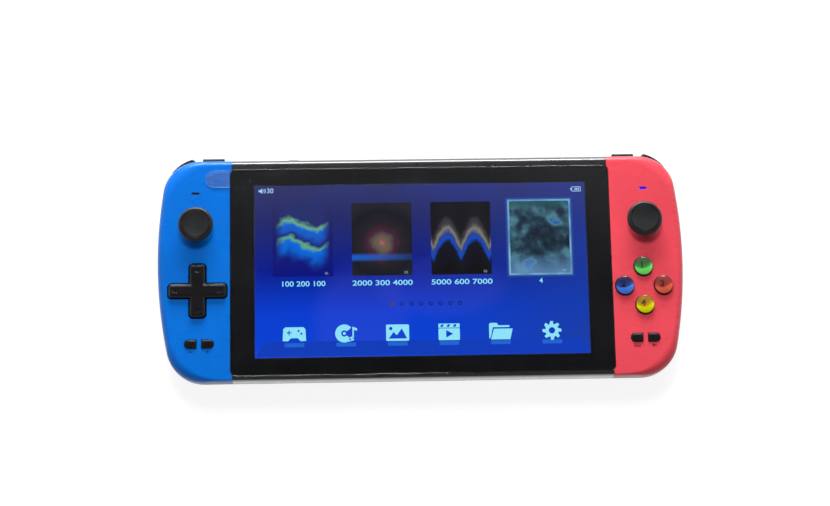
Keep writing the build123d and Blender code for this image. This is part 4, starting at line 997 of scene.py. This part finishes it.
def film_tab():
    """Milky layer of the film's tab and its crease, with pale strips of painted highlight along its cut
    edge.
    """
    film_low, film_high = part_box("protective_film")
    glass_low, glass_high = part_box("display_glass")
    middle = glass_high.y - TAB_DROP
    r = TAB_H / 2
    left = film_low.x
    root = glass_low.x
    far = left + TAB_W - r
    fold = root - TAB_FOLD
    top = middle + r
    foot = middle - r
    half = TAB_HIGHLIGHT_W / 2

    def end(radius, start, stop):
        return arc(left + r, middle, radius, start, stop)

    def level(y):
        return oblong(root, far, y - half, y + half)

    backing = [(fold, top)] + end(r, 90, 270) + [(fold, foot)]
    neck = [(root, top), (fold, top), (fold, foot), (root, foot)]
    crease = [(fold - half, top), (fold - half, foot), (fold + half, foot), (fold + half, top)]
    # Painted highlight: the glint is a brighter strip on the lower left of the tab's cut edge; the rim
    # strip on its upper left and the strips along its top and foot are fainter.
    glint = end(r, 185, 270) + [(root, foot), (root, foot + TAB_HIGHLIGHT_W)] + end(r - TAB_HIGHLIGHT_W, 270, 185)
    rim = end(r, 90, 185) + end(r - half, 185, 90)
    # The backing, neck and crease are the film's milky tint; the glint, rim and edge strips are painted
    # highlight.
    for name, loop, alpha, layer in (
        ("tab_backing", backing, 0.05, 0), ("tab_neck", neck, 0.03, 0), ("tab_crease", crease, 0.06, 1),
        ("tab_glint", glint, 0.5, 1), ("tab_rim_highlight", rim, 0.12, 1),
        ("tab_top_edge_highlight", level(top), 0.05, 1), ("tab_foot_edge_highlight", level(foot), 0.04, 1),
    ):
        place = (0, 0, film_high.z + PRINT_LIFT * (1 + layer))
        flat_piece(name, [loop], place, haze_and_highlight(name, PALE_HAZE_AND_HIGHLIGHT, alpha))


film_tab()


def pad_arrows():
    """Painted shade: dark sheets on the floors of the direction pad's arrow dimples."""
    low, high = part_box("direction_pad")
    middle = (low + high) / 2
    # The near-black colour is painted shade in the dimples, not ink.
    ink = printed("arrow_painted_shade", (5, 5, 7))
    reach = {"up": (0, PAD_D), "left": (90, PAD_W), "down": (180, PAD_D), "right": (270, PAD_W)}
    place = (middle.x, middle.y, high.z - ARROW_DEPTH + PRINT_LIFT)
    outline = [(0, ARROW * 0.6), (-ARROW / 2, -ARROW * 0.3), (ARROW / 2, -ARROW * 0.3)]
    for name, (turn, width) in reach.items():
        outward = Matrix.Translation((0, width / 2 - ARROW_IN, 0))
        turned = Matrix.Rotation(math.radians(turn), 4, "Z") @ outward
        corners = [(turned @ Vector((*corner, 0))).xy for corner in outline]
        loop = [tuple(corner) for corner in corners]
        flat_piece(f"arrow_{name}", [loop], place, ink, body="direction_pad")


def stick_rings():
    """Painted shade: dark sheets on the floors of the grip groove in each stick's cap."""
    # The near-black colour is painted shade in the groove, not ink.
    dark = printed("groove_painted_shade", (6, 6, 8))
    for side in ("left", "right"):
        low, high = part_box(f"{side}_stick_cap")
        middle = (low + high) / 2
        place = (middle.x, middle.y, high.z - GROOVE_DEPTH + PRINT_LIFT)
        for quarter in range(4):
            start = quarter * 90 + GROOVE_BREAK
            stop = quarter * 90 + 90 - GROOVE_BREAK
            floor = arc(0, 0, GROOVE_R + GROOVE_W, start, stop) + arc(0, 0, GROOVE_R, stop, start)
            flat_piece(f"{side}_groove_{quarter + 1}", [floor], place, dark, f"{side}_stick")


pad_arrows()
stick_rings()
button_figures()
key_marks()


def stage():
    """Pale floor: white to the camera and in reflections, and it keeps a soft shadow."""
    mesh = bpy.data.meshes.new("floor")
    square = oblong(-FLOOR_HALF, FLOOR_HALF, -FLOOR_HALF, FLOOR_HALF)
    mesh.from_pydata([(x, y, FLOOR_Z) for x, y in square], [], [(0, 1, 2, 3)])
    floor = bpy.data.objects.new("floor", mesh)
    bpy.context.scene.collection.objects.link(floor)
    material = bpy.data.materials.new("floor")
    graph = Graph(material)
    graph.nodes.clear()
    rays = graph.nodes.new("ShaderNodeLightPath").outputs
    seen = graph.maths("MAXIMUM", rays["Is Camera Ray"], rays["Is Glossy Ray"])
    seen = graph.maths("MAXIMUM", seen, rays["Is Transmission Ray"])
    matt = graph.light("ShaderNodeBsdfDiffuse", Color=grey(FLOOR_MATT))
    shadowed = graph.light("ShaderNodeBsdfDiffuse", Color=grey(FLOOR_SHADOWED))
    glow = graph.light("ShaderNodeEmission", Strength=FLOOR_GLOW)
    white = graph.joined("ShaderNodeAddShader", shadowed, glow)
    graph.end("ShaderNodeOutputMaterial", graph.joined("ShaderNodeMixShader", seen, matt, white))
    mesh.materials.append(material)


def grey(level):
    """A grey as the four linear values that a shader takes."""
    return (level, level, level, 1)


def world():
    """Room light, dark overhead, with a white backdrop that reflections show only low down."""
    room = bpy.data.worlds.new("room")
    bpy.context.scene.world = room
    room.use_nodes = True
    room.node_tree.nodes.clear()
    graph = Graph(room, "Generated")
    levels = graph.scale(graph.axis("Z"), [(at, grey(level)) for at, level in ROOM_LEVELS])
    falloff = graph.between(graph.axis("Y"), *NEAR_FALLOFF)
    dim = graph.light("ShaderNodeBackground", Color=levels, Strength=falloff)
    rays = graph.nodes.new("ShaderNodeLightPath").outputs
    mirrored = graph.maths("MAXIMUM", rays["Is Glossy Ray"], rays["Is Transmission Ray"])
    low_down = graph.between(graph.axis("Z"), *BACKDROP_FALLOFF)
    backed = graph.maths("MULTIPLY", mirrored, low_down)
    seen = graph.maths("MAXIMUM", rays["Is Camera Ray"], backed)
    white = graph.light("ShaderNodeBackground")
    graph.end("ShaderNodeOutputWorld", graph.joined("ShaderNodeMixShader", seen, dim, white))


def lamp(name, place, size, brightness, glossy=True):
    """Soft rectangular lamp aimed at the console, its size in metres across and up."""
    data = bpy.data.lights.new(name, "AREA")
    data.shape = "RECTANGLE"
    data.size, data.size_y = size
    data.energy = LAMP_WATTS * size[0] * size[1] * brightness
    thing = bpy.data.objects.new(name, data)
    thing.location = place
    thing.rotation_euler = (LAMP_AIM - Vector(place)).to_track_quat("-Z", "Y").to_euler()
    thing.visible_glossy = glossy
    bpy.context.scene.collection.objects.link(thing)


def camera():
    """Camera above the console's lower edge, tilted and rolled as the photograph was."""
    data = bpy.data.cameras.new("camera")
    data.lens = CAMERA_LENS
    data.sensor_width = SENSOR_W
    thing = bpy.data.objects.new("camera", data)
    turn = Matrix.Rotation(CAMERA_PAN, 4, "Y") @ Matrix.Rotation(CAMERA_TILT, 4, "X")
    turn = turn @ Matrix.Rotation(CAMERA_ROLL, 4, "Z")
    back = turn @ Vector((0, 0, 1))
    thing.matrix_world = Matrix.Translation(CAMERA_AIM + back * CAMERA_DISTANCE) @ turn
    bpy.context.scene.collection.objects.link(thing)
    bpy.context.scene.camera = thing


stage()
world()
lamp("ceiling_lamp", place=(-0.08, 0.62, 1.3), size=(0.34, 0.3), brightness=22.0, glossy=False)
lamp("window", place=(-0.02, 1.25, 0.44), size=(1.0, 0.45), brightness=15.0)
camera()
bpy.context.scene.view_settings.view_transform = "Standard"
